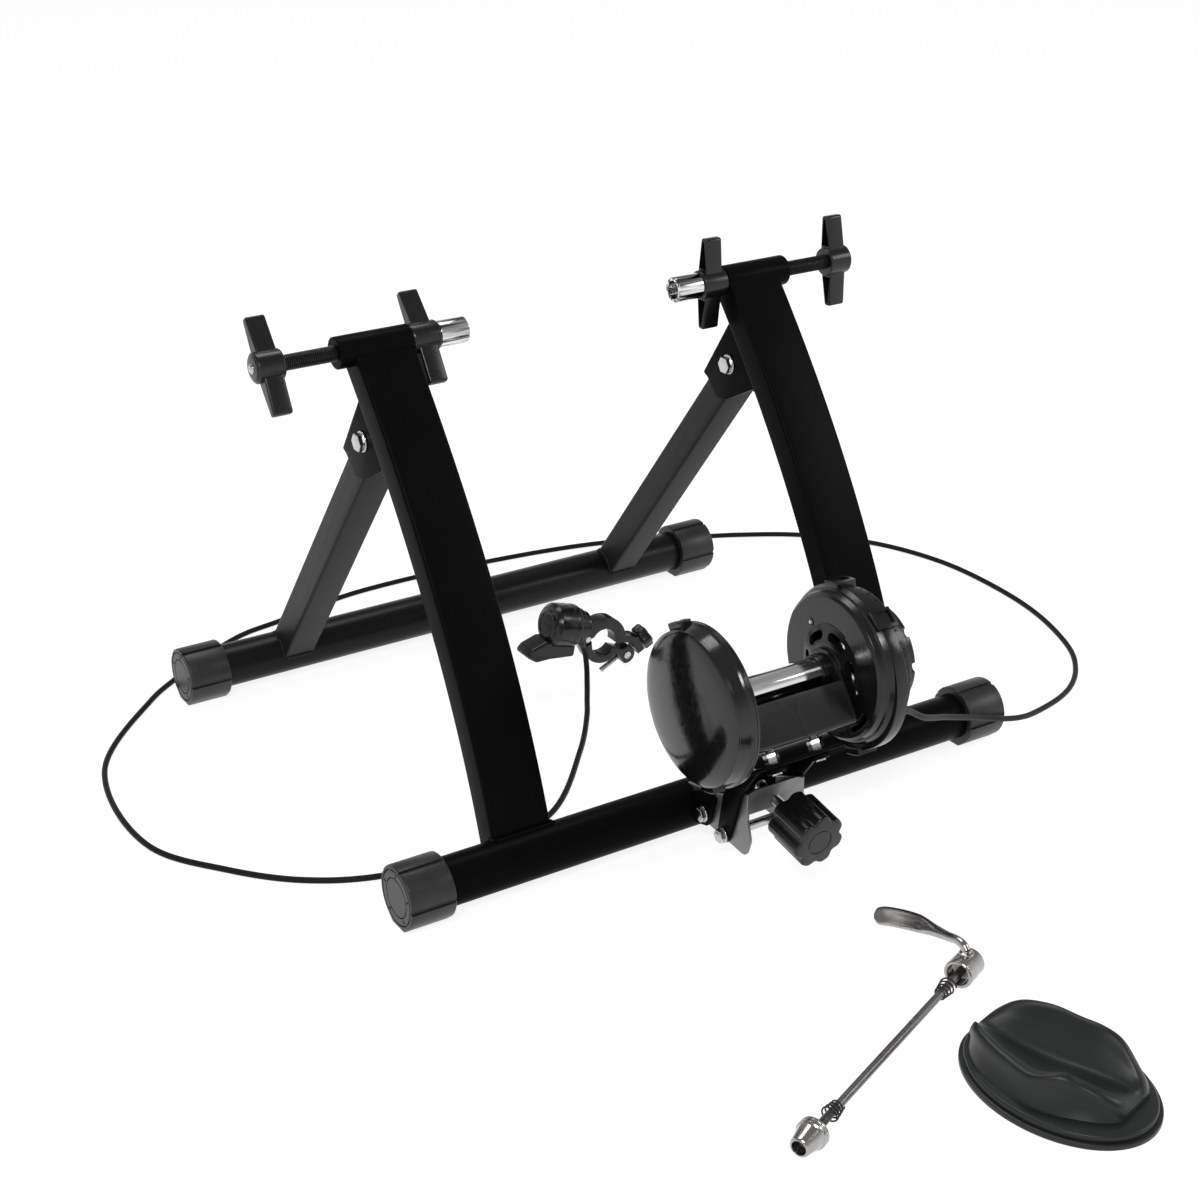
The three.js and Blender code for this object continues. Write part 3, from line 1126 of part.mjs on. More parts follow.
function riserSection(shares) {
  const [alongShare, frontShare, frontHigh, channelShare, channelHigh, backShare, backHigh] = shares;
  const { halfLength, halfWidth, height, draft } = riserBlock;
  const half = halfWidth * Math.sqrt(1 - alongShare ** 2);
  const floor = riserFlange.lower;
  const knots = [
    [-half, floor],
    [Math.max(-half + draft, frontShare * halfWidth - draft), frontHigh * height * flankShares.low],
    [frontShare * halfWidth - draft / 2, frontHigh * height * flankShares.front],
    [frontShare * halfWidth + draft / 2, frontHigh * height],
    [(frontShare + channelShare) * halfWidth / 2, (frontHigh + channelHigh) * height / 2],
    [channelShare * halfWidth, channelHigh * height],
    [(backShare + channelShare) * halfWidth / 2, (backHigh + channelHigh) * height / 2],
    [backShare * halfWidth - draft / 2, backHigh * height],
    [backShare * halfWidth + draft / 2, backHigh * height * flankShares.back],
    [Math.min(half - draft, backShare * halfWidth + 2 * draft), backHigh * height * flankShares.low],
    [half, floor],
  ];
  return knots.map(([across, high]) => new THREE.Vector3(alongShare * halfLength, across, high));
}

function riserSaddle() {
  const knots = riserStationShares.map(riserSection);
  const pointsAcross = 16;
  const stations = 14;
  const lines = knots[0].map((_, k) => new THREE.CatmullRomCurve3(knots.map((section) => section[k])));
  const rows = Array.from({ length: stations + 1 }, (_, k) => {
    const section = lines.map((line) => line.getPoint(k / stations));
    const across = new THREE.CatmullRomCurve3(section);
    return across.getPoints(pointsAcross);
  });
  const floor = riserFlange.lower;
  const positions = [];
  for (const row of rows) {
    for (const point of row) positions.push(point.x, point.y, Math.max(point.z, floor));
    positions.push(row[0].x, row[pointsAcross].y, 0, row[0].x, row[0].y, 0);
  }
  const width = pointsAcross + 3;
  const index = [];
  for (let k = 0; k < stations; k += 1) {
    for (let m = 0; m < width; m += 1) {
      const [a, b] = [k * width + m, k * width + (m + 1) % width];
      index.push(a, b, a + width, b, b + width, a + width);
    }
  }
  for (const [start, flip] of [[0, false], [stations * width, true]]) {
    for (let m = 1; m < width - 1; m += 1) {
      const [one, two] = flip ? [start + m, start + m + 1] : [start + m + 1, start + m];
      index.push(start, one, two);
    }
  }
  const geometry = new THREE.BufferGeometry();
  geometry.setAttribute("position", new THREE.Float32BufferAttribute(positions, 3));
  geometry.setIndex(index);
  return geometry.rotateZ(toRadians(riserBlock.heading));
}

function riserOval(inset, from, to) {
  const shape = new THREE.Shape();
  shape.absellipse(0, 0, riser.halfLength - inset, riser.halfWidth - inset, 0, 2 * Math.PI);
  const oval = extrude(shape, to - from, riserFlange.edge, 18).translate(0, 0, from);
  return oval.rotateZ(toRadians(riser.heading));
}

function riserBody() {
  const lower = riserOval(0, 0, riserFlange.lower);
  const upper = riserOval(riserFlange.inset, riserFlange.lower - riserFlange.sunk, riserFlange.upper);
  return join(lower, upper, riserSaddle()).translate(riser.x, riser.y, 0);
}

add(part, "riser_block", riserBody(), "rubber");

// The origin goes under the middle of everything but the cable
const box = new THREE.Box3();
part.updateMatrixWorld(true);
part.traverse((piece) => {
  if (piece.isMesh && piece.name !== "cable") box.expandByObject(piece, true);
});
const middle = box.getCenter(new THREE.Vector3());
part.position.set(-middle.x, -middle.y, -box.min.z);
console.log("shift", part.position.toArray().map((value) => value.toFixed(4)).join(", "));

const group = new THREE.Group();
group.add(part);

export default group;
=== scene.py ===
# Folding bicycle trainer with its magnetic resistance unit, cable shifter, skewer and riser block.
# Sizes are in millimetres from the floor under the front tube's axis, X to the right along the
# base tubes, Y to the rear and Z up. Each finished piece is brought into the CAD frame in metres.

import math
import random

import bmesh
import bpy
from mathutils import Matrix, Vector


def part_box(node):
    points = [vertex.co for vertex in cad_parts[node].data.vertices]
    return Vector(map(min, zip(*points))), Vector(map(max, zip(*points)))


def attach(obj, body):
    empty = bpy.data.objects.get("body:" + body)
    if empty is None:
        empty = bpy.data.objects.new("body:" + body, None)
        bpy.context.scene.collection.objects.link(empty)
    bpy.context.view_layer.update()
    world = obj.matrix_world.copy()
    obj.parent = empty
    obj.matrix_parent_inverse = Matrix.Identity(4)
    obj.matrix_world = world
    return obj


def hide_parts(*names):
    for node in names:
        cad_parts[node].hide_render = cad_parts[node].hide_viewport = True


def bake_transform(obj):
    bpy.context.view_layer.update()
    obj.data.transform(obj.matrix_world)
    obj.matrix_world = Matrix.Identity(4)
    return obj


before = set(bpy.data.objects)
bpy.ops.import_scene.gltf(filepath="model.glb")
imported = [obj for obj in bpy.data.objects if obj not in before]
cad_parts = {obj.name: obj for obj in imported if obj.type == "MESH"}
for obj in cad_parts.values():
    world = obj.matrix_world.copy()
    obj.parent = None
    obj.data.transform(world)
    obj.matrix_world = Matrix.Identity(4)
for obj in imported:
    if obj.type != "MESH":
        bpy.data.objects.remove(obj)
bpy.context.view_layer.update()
scene = bpy.context.scene
random.seed(7)

REAR_TUBE_Y = 421
low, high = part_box("rear_base_tube")
SHIFT = Vector((0, (low.y + high.y) / 2 * 1000 - REAR_TUBE_Y, 0))
TO_FRAME = Matrix.Scale(0.001, 4) @ Matrix.Translation(SHIFT)

# Camera

CAMERA_PLACE = (-844.3, -1185.9, 859.9)
CAMERA_HEADING, CAMERA_DIP, CAMERA_ROLL = -0.5568, 0.4305, -0.0065

camera_data = bpy.data.cameras.new("camera")
camera_data.lens = 63.58
camera_data.sensor_width = 36
camera_data.shift_x = 0.0009
camera_data.shift_y = 0.00075
camera = bpy.data.objects.new("camera", camera_data)
scene.collection.objects.link(camera)
camera.matrix_world = (
    Matrix.Translation(TO_FRAME @ Vector(CAMERA_PLACE))
    @ Matrix.Rotation(CAMERA_HEADING, 4, "Z")
    @ Matrix.Rotation(math.pi / 2 - CAMERA_DIP, 4, "X")
    @ Matrix.Rotation(CAMERA_ROLL, 4, "Z")
)
scene.camera = camera

# Mesh tools

IDENT = Matrix.Identity(4)
# A prism's outline is drawn in (y, z). LEAF draws it in (x, z) and PLAN in (x, y) instead.
LEAF = Matrix(((0, 1, 0, 0), (1, 0, 0, 0), (0, 0, 1, 0), (0, 0, 0, 1)))
PLAN = Matrix(((0, 1, 0, 0), (0, 0, 1, 0), (1, 0, 0, 0), (0, 0, 0, 1)))
MIRROR = Matrix.Scale(-1, 4, (1, 0, 0))
UP = Matrix.Rotation(-math.pi / 2, 4, "Y")
SIDES = {"left": -1, "right": 1}
FLIP = {-1: MIRROR, 1: IDENT}
rad = math.radians


def polar(radius, angle):
    return (radius * math.cos(angle), radius * math.sin(angle))


def whole_turn(count):
    return [2 * math.pi * k / count for k in range(count)]


def turn_x(degrees):
    return Matrix.Rotation(rad(degrees), 4, "X")


def turn_z(degrees):
    return Matrix.Rotation(rad(degrees), 4, "Z")


def move(x, y, z):
    return Matrix.Translation((x, y, z))


def aim(direction, place):
    """Turns a piece drawn along +X so that it points along a direction from a place."""
    turn = Vector((1, 0, 0)).rotation_difference(Vector(direction).normalized())
    return Matrix.Translation(Vector(place)) @ turn.to_matrix().to_4x4()


def skin(bm, rings, closed):
    """Faces between neighbouring rings of equal counts, or between a ring and a single point."""
    count = max(len(ring) for ring in rings)
    for a, b in zip(rings, rings[1:] + (rings[:1] if closed else [])):
        for k in range(count):
            n = (k + 1) % count
            corners = (a[k % len(a)], a[n % len(a)], b[n % len(b)], b[k % len(b)])
            corners = list(dict.fromkeys(corners))
            if len(corners) > 2:
                bm.faces.new(corners)


def loft(bm, rings, at=IDENT, closed=False):
    """Joins rings of equal point counts, capped at both ends or closed on itself."""
    made = [[bm.verts.new(at @ Vector(p)) for p in ring] for ring in rings]
    skin(bm, made, closed)
    if not closed:
        bm.faces.new(list(reversed(made[0])))
        bm.faces.new(made[-1])
    return bm


def lathe(bm, profile, at=IDENT, sides=64, closed=False):
    """Solid of revolution about X: the profile lists (radius, place along X)."""
    rings = []
    for radius, along in profile:
        angles = whole_turn(sides) if radius > 1e-5 else [0]
        rings.append([bm.verts.new(at @ Vector((along, *polar(radius, a)))) for a in angles])
    skin(bm, rings, closed)
    return bm


def fillet(corners, steps=4, closed=True):
    """Outline through corners (a, b, radius), each rounded by its own radius."""
    points = []
    count = len(corners)
    for k, (a, b, *rounding) in enumerate(corners):
        here = Vector((a, b))
        radius = rounding[0] if rounding else 0
        if radius <= 0 or (not closed and k in (0, count - 1)):
            points.append(here)
            continue
        back = Vector(corners[k - 1][:2]) - here
        ahead = Vector(corners[(k + 1) % count][:2]) - here
        half = back.angle(ahead) / 2
        run = min(radius / math.tan(half), 0.49 * back.length, 0.49 * ahead.length)
        start = here + back.normalized() * run
        end = here + ahead.normalized() * run
        for s in range(steps + 1):
            t = s / steps
            points.append(start * (1 - t) ** 2 + here * 2 * t * (1 - t) + end * t ** 2)
    return [p for k, p in enumerate(points) if k == 0 or (p - points[k - 1]).length > 1e-4]


def turned(bm, corners, at=IDENT, sides=64, closed=False, steps=4):
    """Lathe whose profile corners (radius, along, rounding) are rounded."""
    profile = [tuple(p) for p in fillet(corners, steps, closed)]
    return lathe(bm, profile, at, sides, closed)


def prism(bm, outline, start, end, at=IDENT, edge=0.0, steps=3):
    """Extrudes an outline given in (y, z) along X, with rounded rims."""
    points = [Vector(p[:2]) for p in outline]
    points = [p for k, p in enumerate(points) if (p - points[k - 1]).length > 1e-4]
    area = sum(a.cross(b) for a, b in zip(points, points[1:] + points[:1]))
    if area < 0:
        points.reverse()
    count = len(points)

    def inset(distance):
        result = []
        for k, here in enumerate(points):
            one = (here - points[k - 1]).normalized()
            two = (points[(k + 1) % count] - here).normalized()
            inward = Vector((-one.y - two.y, one.x + two.x))
            result.append(here + inward * (distance / max(0.4, 1 + one.dot(two))))
        return result

    if edge <= 0:
        return loft(bm, [[(x, p.x, p.y) for p in points] for x in (start, end)], at)
    turns = [k / steps * math.pi / 2 for k in range(steps + 1)]
    run = [(start + edge * (1 - math.cos(t)), t) for t in turns]
    run += [(end - edge * (1 - math.cos(t)), t) for t in reversed(turns)]
    rings = [[(x, p.x, p.y) for p in inset(edge * (1 - math.sin(t)))] for x, t in run]
    return loft(bm, rings, at)


def plates(bm, outline, inner, outer):
    """Prisms from inner to outer on both sides of the middle."""
    for start, end in ((-outer, -inner), (inner, outer)):
        prism(bm, outline, start, end, edge=0.5, steps=2)


def circle(radius, sides=32, centre=(0, 0), start=0.0, end=360.0):
    """Points of a whole circle, or of an arc with both its ends; angles in degrees."""
    count = sides if abs(end - start - 360) < 1e-6 else sides + 1
    turns = [polar(radius, rad(start + (end - start) * k / sides)) for k in range(count)]
    return [(centre[0] + a, centre[1] + b) for a, b in turns]


def box(bm, lowest, highest, at=IDENT, edge=0.0):
    (x0, y0, z0), (x1, y1, z1) = lowest, highest
    return prism(bm, [(y0, z0), (y1, z0), (y1, z1), (y0, z1)], x0, x1, at, edge)


def rod(bm, radius, start, end, at=IDENT, sides=32, edge=0.0):
    corners = [(0, start), (radius, start, edge), (radius, end, edge), (0, end)]
    return turned(bm, corners, at, sides, steps=3)


def tube(bm, inner, outer, start, end, at=IDENT, sides=64):
    """Ring of square section, for cutting."""
    return lathe(bm, [(inner, start), (outer, start), (outer, end), (inner, end)], at, sides, True)


def hexagon(across):
    return circle(across / math.sqrt(3), 6)


def sweep(bm, path, radius, sides, bumps=None):
    """Round tube along a path of points; bumps scales its radius at each point."""
    points = [Vector(p) for p in path]
    ahead = (points[1] - points[0]).normalized()
    normal = ahead.orthogonal().normalized()
    rings = []
    for k, point in enumerate(points):
        before, after = points[max(k - 1, 0)], points[min(k + 1, len(points) - 1)]
        along = (after - before).normalized()
        normal = (normal - along * normal.dot(along)).normalized()
        across = along.cross(normal)
        size = radius * (bumps[k] if bumps else 1)
        rings.append([point + (normal * math.cos(a) + across * math.sin(a)) * size
                      for a in whole_turn(sides)])
    return loft(bm, rings)


def catmull(points, share):
    """Point of a centripetal Catmull-Rom curve, at a share of its points from 0 to 1."""
    count = len(points)
    place = (count - 1) * share
    k = min(int(place), count - 2)
    t = place - k
    p1, p2 = points[k], points[k + 1]
    p0 = points[k - 1] if k > 0 else 2 * points[0] - points[1]
    p3 = points[k + 2] if k + 2 < count else 2 * points[-1] - points[-2]

    def step(start, end, spare):
        length = (end - start).length ** 0.5
        return length if length > 1e-4 else spare

    d1 = step(p1, p2, 1.0)
    d0, d2 = step(p0, p1, d1), step(p2, p3, d1)
    t1 = ((p1 - p0) / d0 - (p2 - p0) / (d0 + d1) + (p2 - p1) / d1) * d1
    t2 = ((p2 - p1) / d1 - (p3 - p1) / (d1 + d2) + (p3 - p2) / d2) * d1
    return (p1 + t1 * t + (-3 * p1 + 3 * p2 - 2 * t1 - t2) * t ** 2
            + (2 * p1 - 2 * p2 + t1 + t2) * t ** 3)


def as_object(bm):
    bmesh.ops.remove_doubles(bm, verts=bm.verts, dist=1e-5)
    bmesh.ops.recalc_face_normals(bm, faces=bm.faces)
    wide = [face for face in bm.faces if len(face.verts) > 4]
    bmesh.ops.triangulate(bm, faces=wide, ngon_method="EAR_CLIP")
    mesh = bpy.data.meshes.new("work")
    bm.to_mesh(mesh)
    bm.free()
    made = bpy.data.objects.new("work", mesh)
    scene.collection.objects.link(made)
    return made


def solid(made):
    return as_object(made) if isinstance(made, bmesh.types.BMesh) else made


def combine(target, tool, operation):
    """Cuts a mesh with another, or joins it to it."""
    target, tool = solid(target), solid(tool)
    modifier = target.modifiers.new("combine", "BOOLEAN")
    modifier.object = tool
    modifier.operation = operation
    modifier.solver = "EXACT"
    depsgraph = bpy.context.evaluated_depsgraph_get()
    mesh = bpy.data.meshes.new_from_object(target.evaluated_get(depsgraph))
    target.modifiers.clear()
    target.data = mesh
    bpy.data.objects.remove(tool)
    return target


def cut(target, *tools):
    for tool in tools:
        target = combine(target, tool, "DIFFERENCE")
    return target


def join(target, *others):
    for other in others:
        target = combine(target, other, "UNION")
    return target


def shape(function, *args, **kwargs):
    bm = bmesh.new()
    function(bm, *args, **kwargs)
    return bm


# Materials

def fill(tree, node, inputs):
    """Links the inputs that are given as sockets, and sets those given as values."""
    for name, value in inputs.items():
        if isinstance(value, bpy.types.NodeSocket):
            tree.links.new(value, node.inputs[name])
        else:
            node.inputs[name].default_value = value
    return node


def new_node(tree, kind, inputs):
    return fill(tree, tree.nodes.new(f"ShaderNode{kind}"), inputs)


def mixer(tree, data_type, inputs):
    node = tree.nodes.new("ShaderNodeMix")
    node.data_type = data_type
    return fill(tree, node, inputs).outputs["Result"]


def material(name, colour, rough, metallic, specular, grain, mottle_and_painted_streaks,
             rough_span=0.06, stretch=(1, 1, 1), spread=(0, 1)):
    """Principled material with fine grain in its surface and roughness, and slow changes of tone.

    grain is (scale, depth in metres), and the tone argument after it (scale, share that the tone
    changes by): random blotches on most finishes, and on the chrome finishes, drawn out along X,
    streaks that are a painted reflection.
    """
    made = bpy.data.materials.new(name)
    made.use_nodes = True
    tree = made.node_tree
    place = tree.nodes.new("ShaderNodeTexCoord").outputs["Object"]
    # Scaled down along X, the tone noise is drawn out into streaks; on the chrome finishes these
    # streaks are a painted reflection.
    place = new_node(tree, "Mapping", {"Scale": stretch, "Vector": place}).outputs["Vector"]
    slow, fine = (new_node(tree, "TexNoise", {
        "Scale": scale, "Detail": detail, "Vector": place,
    }).outputs["Fac"] for scale, detail in ((mottle_and_painted_streaks[0], 3), (grain[0], 4)))
    contrast = new_node(tree, "MapRange", {
        "From Min": spread[0], "From Max": spread[1], "Value": slow})
    tones = [(*(Vector(colour) * (1 + change)), 1) for change in (-mottle_and_painted_streaks[1], mottle_and_painted_streaks[1])]
    base = mixer(tree, "RGBA", {"A": tones[0], "B": tones[1], "Factor": contrast.outputs["Result"]})
    span = new_node(tree, "MapRange", {
        "From Min": 0.3, "From Max": 0.7, "Value": fine,
        "To Min": max(0.02, rough - rough_span), "To Max": rough + rough_span,
    })
    bump = new_node(tree, "Bump", {"Strength": 0.5, "Distance": grain[1], "Height": fine})
    fill(tree, tree.nodes["Principled BSDF"], {
        "Metallic": metallic, "Specular IOR Level": specular, "Base Color": base,
        "Roughness": span.outputs["Result"], "Normal": bump.outputs["Normal"],
    })
    return made


def grey(value, warm=0.0):
    return (value * (1 + warm), value, value * (1 - warm))


# Name, colour, roughness, metallic, specular level, grain, tone noise (random blotches; on the
# chrome finishes, painted reflection streaks) and whatever else differs
FINISHES = [
    ("frame_paint", grey(0.0034), 0.34, 0, 0.025, (700, 6e-5), (25, 0.25), {}),
    ("strut_paint", grey(0.015), 0.42, 0, 0.12, (900, 8e-5), (30, 0.15), {}),
    ("rear_tube_paint", grey(0.005), 0.32, 0, 0.16, (700, 6e-5), (25, 0.25), {}),
    ("foot_rubber", grey(0.014), 0.4, 0, 0.45, (1500, 12e-5), (70, 0.35), {"spread": (0.35, 0.65)}),
    ("handle_plastic", grey(0.006), 0.26, 0, 0.4, (1600, 6e-5), (80, 0.2), {}),
    ("cover_plastic", grey(0.008), 0.14, 0, 0.5, (300, 2e-5), (40, 0.15), {}),
    ("housing_plastic", grey(0.006), 0.22, 0, 0.4, (500, 3e-5), (60, 0.2), {}),
    # Chrome's tone noise is stretched along X into strong dark and light streaks: a painted
    # reflection.
    ("chrome", grey(0.5), 0.12, 1, 0.5, (600, 4e-6), (330, 0.75),
     {"stretch": (0.04, 1, 1), "spread": (0.4, 0.6)}),
    ("bolt_steel", grey(0.5), 0.18, 1, 0.5, (500, 6e-6), (120, 0.15), {"rough_span": 0.04}),
    ("thread_steel", grey(0.02), 0.35, 0.6, 0.5, (900, 4e-5), (120, 0.3), {}),
    ("bracket_zinc", grey(0.22), 0.42, 0.8, 0.5, (700, 4e-5), (90, 0.3), {}),
    ("flywheel_iron", grey(0.1), 0.5, 0.7, 0.5, (400, 1e-4), (60, 0.3), {}),
    ("cable_rubber", grey(0.008), 0.5, 0, 0.15, (2000, 5e-5), (60, 0.2), {}),
    ("skewer_steel", grey(0.38, 0.02), 0.2, 1, 0.5, (900, 4e-6), (180, 0.25), {}),
    ("rod_steel", grey(0.17, 0.03), 0.35, 0.9, 0.5, (900, 3e-5), (150, 0.25), {}),
    # The roller's tone noise is stretched along X into faint streaks: a painted reflection.
    ("roller_chrome", grey(0.84), 0.11, 1, 0.5, (700, 6e-6), (300, 0.16),
     {"rough_span": 0.05, "stretch": (0.03, 1, 1), "spread": (0.35, 0.65)}),
    ("trough_paint", grey(0.009), 0.2, 0, 0.4, (700, 8e-6), (25, 0.2), {}),
    ("riser_plastic", (0.0115, 0.0135, 0.0125), 0.38, 0, 0.35, (1300, 1e-4), (50, 0.2), {}),
]
FINISH = {name: material(name, *values, **more) for name, *values, more in FINISHES}


def finished(made, name, body, slot, *stands_for, sharp=38, at=IDENT, look=None):
    """Brings a piece into the frame, shades it, gives it its finish and body, and hides the CAD
    nodes it stands for.
    """
    made = solid(made)
    made.name = made.data.name = name
    bm = bmesh.new()
    bm.from_mesh(made.data)
    bmesh.ops.transform(bm, matrix=TO_FRAME @ at, verts=bm.verts)
    bmesh.ops.remove_doubles(bm, verts=bm.verts, dist=1e-7)
    bmesh.ops.recalc_face_normals(bm, faces=bm.faces)
    bm.to_mesh(made.data)
    bm.free()
    made.data.shade_smooth()
    made.data.set_sharp_from_angle(angle=rad(sharp))
    made.data.materials.clear()
    made.data.materials.append(FINISH[look or slot])
    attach(made, body)
    if stands_for:
        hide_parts(*stands_for)
    return made


# Cable, from the housing's gland round behind the frame and under it to the shifter's boss

CABLE_WIDTH = 4.9
CABLE_LIE = 2.6
CABLE_STEPS = 900
CABLE_START = [
    (109.371, -93.515, 109.361), (121, -87.2, 102), (142, -79, 87.5), (184, -57, 66),
    (208, -48, 55), (239, -39, 42), (269, -34, 30), (294, -29, 22), (317, -21, 16), (369, 0, 8),
    (401, 19, 4.5),
]
CABLE_ON_FLOOR = [
    (428, 43), (450, 73), (476, 141), (486, 209), (482, 294), (454, 369), (404, 426), (353, 459),
    (325, 473), (220, 519), (97, 541), (-20, 546), (-67, 542), (-137, 525), (-184, 514),
    (-271, 460), (-303, 433), (-380, 336), (-393, 200), (-356, 137), (-313, 92), (-262, 66),
    (-171, 58), (-107, 75), (-31, 152), (8, 204),
]
CABLE_END = [
    (21.9, 226.3, 3.6), (28.7, 237.1, 7), (33.7, 245.3, 11.8), (37.8, 252.2, 17.5),
    (40.3, 257.3, 23.3), (40.6, 259.4, 30), (38.173, 259.004, 37.2),
]
on_floor = [(x, y, CABLE_LIE) for x, y in CABLE_ON_FLOOR]
route = [Vector(p) for p in CABLE_START + on_floor + CABLE_END]
spread = [catmull(route, k / CABLE_STEPS) for k in range(CABLE_STEPS + 1)]
cable = as_object(shape(sweep, spread, CABLE_WIDTH / 2, sides=14))
cable.name = "cable_jacket"
cable.data.transform(TO_FRAME)
cable_low, cable_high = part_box("cable")
for vertex in cable.data.vertices:
    vertex.co = Vector(min(max(c, a), b) for c, a, b in zip(vertex.co, cable_low, cable_high))
cable.data.shade_smooth()
cable.data.set_sharp_from_angle(angle=rad(50))
cable.data.materials.append(FINISH["cable_rubber"])
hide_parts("cable")
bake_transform(cable)

# Base tubes and feet

TUBE_Z = 25
TUBE_R = 19
FRONT_END = 561 / 2
REAR_END = 552 / 2


def foot(end):
    """Foot cap on the right end of a base tube: grooved along, its end face ringed and marked."""
    radius, half_pad, length, wall = 25, 9, 37, 3
    meet = 90 - 2 * math.degrees(math.atan(half_pad / radius))
    outline = [(-half_pad, -radius, 2.5), (half_pad, -radius, 2.5)]
    outline += circle(radius, 90, start=-meet, end=180 + meet)
    cap = shape(prism, fillet(outline, 3), end - length, end, edge=1.5)
    bore = shape(rod, TUBE_R + 0.25, end - length - 6, end - wall, sides=64)
    grooves = bmesh.new()
    for angle in (30, 106, 182):
        prism(grooves, fillet([(22.9, -1.5, 0.5), (26, -2.1), (26, 2.1), (22.9, 1.5, 0.5)], 3),
              end - length - 3, end + 3, turn_x(angle))
    for inner, outer, deep in ((20.9, 22.1, 1.6), (14.8, 15.8, 1.4)):
        tube(grooves, inner, outer, end - deep, end + 1, sides=72)
    for angle in (20, 92, 164, 236, 308):
        mark = turn_x(angle) @ move(end - 0.6, 0, 0)
        prism(grooves, [(16.8, -0.5), (20, -1.6), (19.2, 0), (20, 1.6), (16.8, 0.5)], 0, 2, mark)
    return cut(cap, bore, grooves)


for row, end, y, body in (
        ("front", FRONT_END, 0, "stand"), ("rear", REAR_END, REAR_TUBE_Y, "rear_leg")):
    for hand, side in SIDES.items():
        node = f"{row}_{hand}_foot"
        finished(foot(end), f"{node}_cap", body, "foot_rubber", node,
                 at=move(0, y, TUBE_Z) @ FLIP[side])


def base_tube(end, y):
    reach, inner = end - 3.3, TUBE_R - 1.5
    ring = [(inner, -reach, 0.4), (TUBE_R, -reach, 0.5), (TUBE_R, reach, 0.5), (inner, reach, 0.4)]
    return shape(turned, ring, move(0, y, TUBE_Z), 96, True, 2)


EAR = [
    (-10, 42, 2), (-34, 54, 3), (-42, 48, 3), (-37.3, 30.4, 6), (-32.8, 21.4, 4), (-17, 17, 2),
    (0, 17), (0, 42),
]
front_tube = base_tube(FRONT_END, 0)
plates(front_tube, fillet(EAR, 5), 27, 30)
finished(front_tube, "front_tube_and_ears", "stand", "frame_paint", "front_base_tube")
finished(base_tube(REAR_END, REAR_TUBE_Y), "rear_tube", "rear_leg", "frame_paint", "rear_base_tube",
         look="rear_tube_paint")


def bead(bm, path, radius=1.7):
    """Weld bead: a low rippled run along a path."""
    pitch = 2.6
    points = [Vector(path[0])]
    for a, b in zip(path, path[1:]):
        a, b = Vector(a), Vector(b)
        pieces = max(1, round((b - a).length / (pitch / 5)))
        points += [a + (b - a) * (k / pieces) for k in range(1, pieces + 1)]
    run, bumps = 0.0, []
    for k, point in enumerate(points):
        run += (point - points[k - 1]).length if k else 0
        ripple = abs(math.sin(math.pi * run / pitch))
        bumps.append(0.86 + 0.2 * ripple + random.uniform(-0.04, 0.04))
    bumps[0] = bumps[-1] = 0.5
    return sweep(bm, points, radius, 8, bumps=bumps)


def on_tube(x, y, degrees):
    """Place for a weld bead on a base tube."""
    across, high = polar(TUBE_R + 0.4, rad(degrees))
    return (x, y + across, TUBE_Z + high)


# Uprights

STANCE = 171.5
HALF_WIDTH = 25
DEPTH = 25
SLEEVE = Vector((209, 367))
TOP_LEAN = rad(40.8)
SWEEP_TOP = SLEEVE + Vector((-math.cos(TOP_LEAN), math.sin(TOP_LEAN))) * 9.2
SWEEP_BEND = SWEEP_TOP - Vector((math.sin(TOP_LEAN), math.cos(TOP_LEAN))) * 227.6
SWEEP_FOOT = Vector((1.1, 30))


def behind(t, distance):
    """Point in (y, z) a distance behind the upright's front sweep, at a share t of its way up."""
    point = SWEEP_FOOT * (1 - t) ** 2 + SWEEP_BEND * 2 * t * (1 - t) + SWEEP_TOP * t ** 2
    along = ((SWEEP_BEND - SWEEP_FOOT) * (1 - t) + (SWEEP_TOP - SWEEP_BEND) * t).normalized()
    return point + Vector((along.y, -along.x)) * distance


def seat(place, reach, middle=0):
    """Tool that cuts the seat of a welded part to a base tube's round."""
    return shape(rod, TUBE_R + 0.05, middle - reach, middle + reach, move(0, *place), sides=96)


def upright(side):
    centre, steps, rounding = side * STANCE, 30, 3.2
    section = fillet([(a, b, rounding) for a, b in (
        (-HALF_WIDTH, 0), (HALF_WIDTH, 0), (HALF_WIDTH, DEPTH), (-HALF_WIDTH, DEPTH))], 4)
    body = shape(loft, [[(centre + p.x, *behind(k / steps, p.y)) for p in section]
                        for k in range(steps + 1)])
    outer, inner = STANCE + HALF_WIDTH + 11.5, STANCE - HALF_WIDTH - 0.3
    sleeve = shape(turned, [(0, inner), (12.5, inner, 0.6), (12.5, outer, 1.2), (0, outer)],
                   move(0, *SLEEVE) @ FLIP[side], 64)
    bore = shape(rod, 6.6, -330, 330, move(0, *SLEEVE), sides=64)
    return cut(join(body, sleeve), seat((0, TUBE_Z), 290), bore)


for hand, side in SIDES.items():
    finished(upright(side), f"{hand}_upright_tube", "stand", "frame_paint", f"{hand}_upright",
             sharp=30)
    centre = side * STANCE
    welds = bmesh.new()
    for way in (-1, 1):
        edge = centre + way * (HALF_WIDTH + 0.2)
        bead(welds, [on_tube(edge, 0, a) for a in range(84, 12, -6)])
    bead(welds, [on_tube(centre + x, 0, 87) for x in range(-24, 25, 6)])
    finished(welds, f"{hand}_foot_weld", "stand", "frame_paint", sharp=60)

# Pivot brackets, bolts and struts

PIVOT = Vector((206, 294.3))


def pivot_hole(centre):
    return shape(rod, 4.3, centre - 30, centre + 30, move(0, *PIVOT))


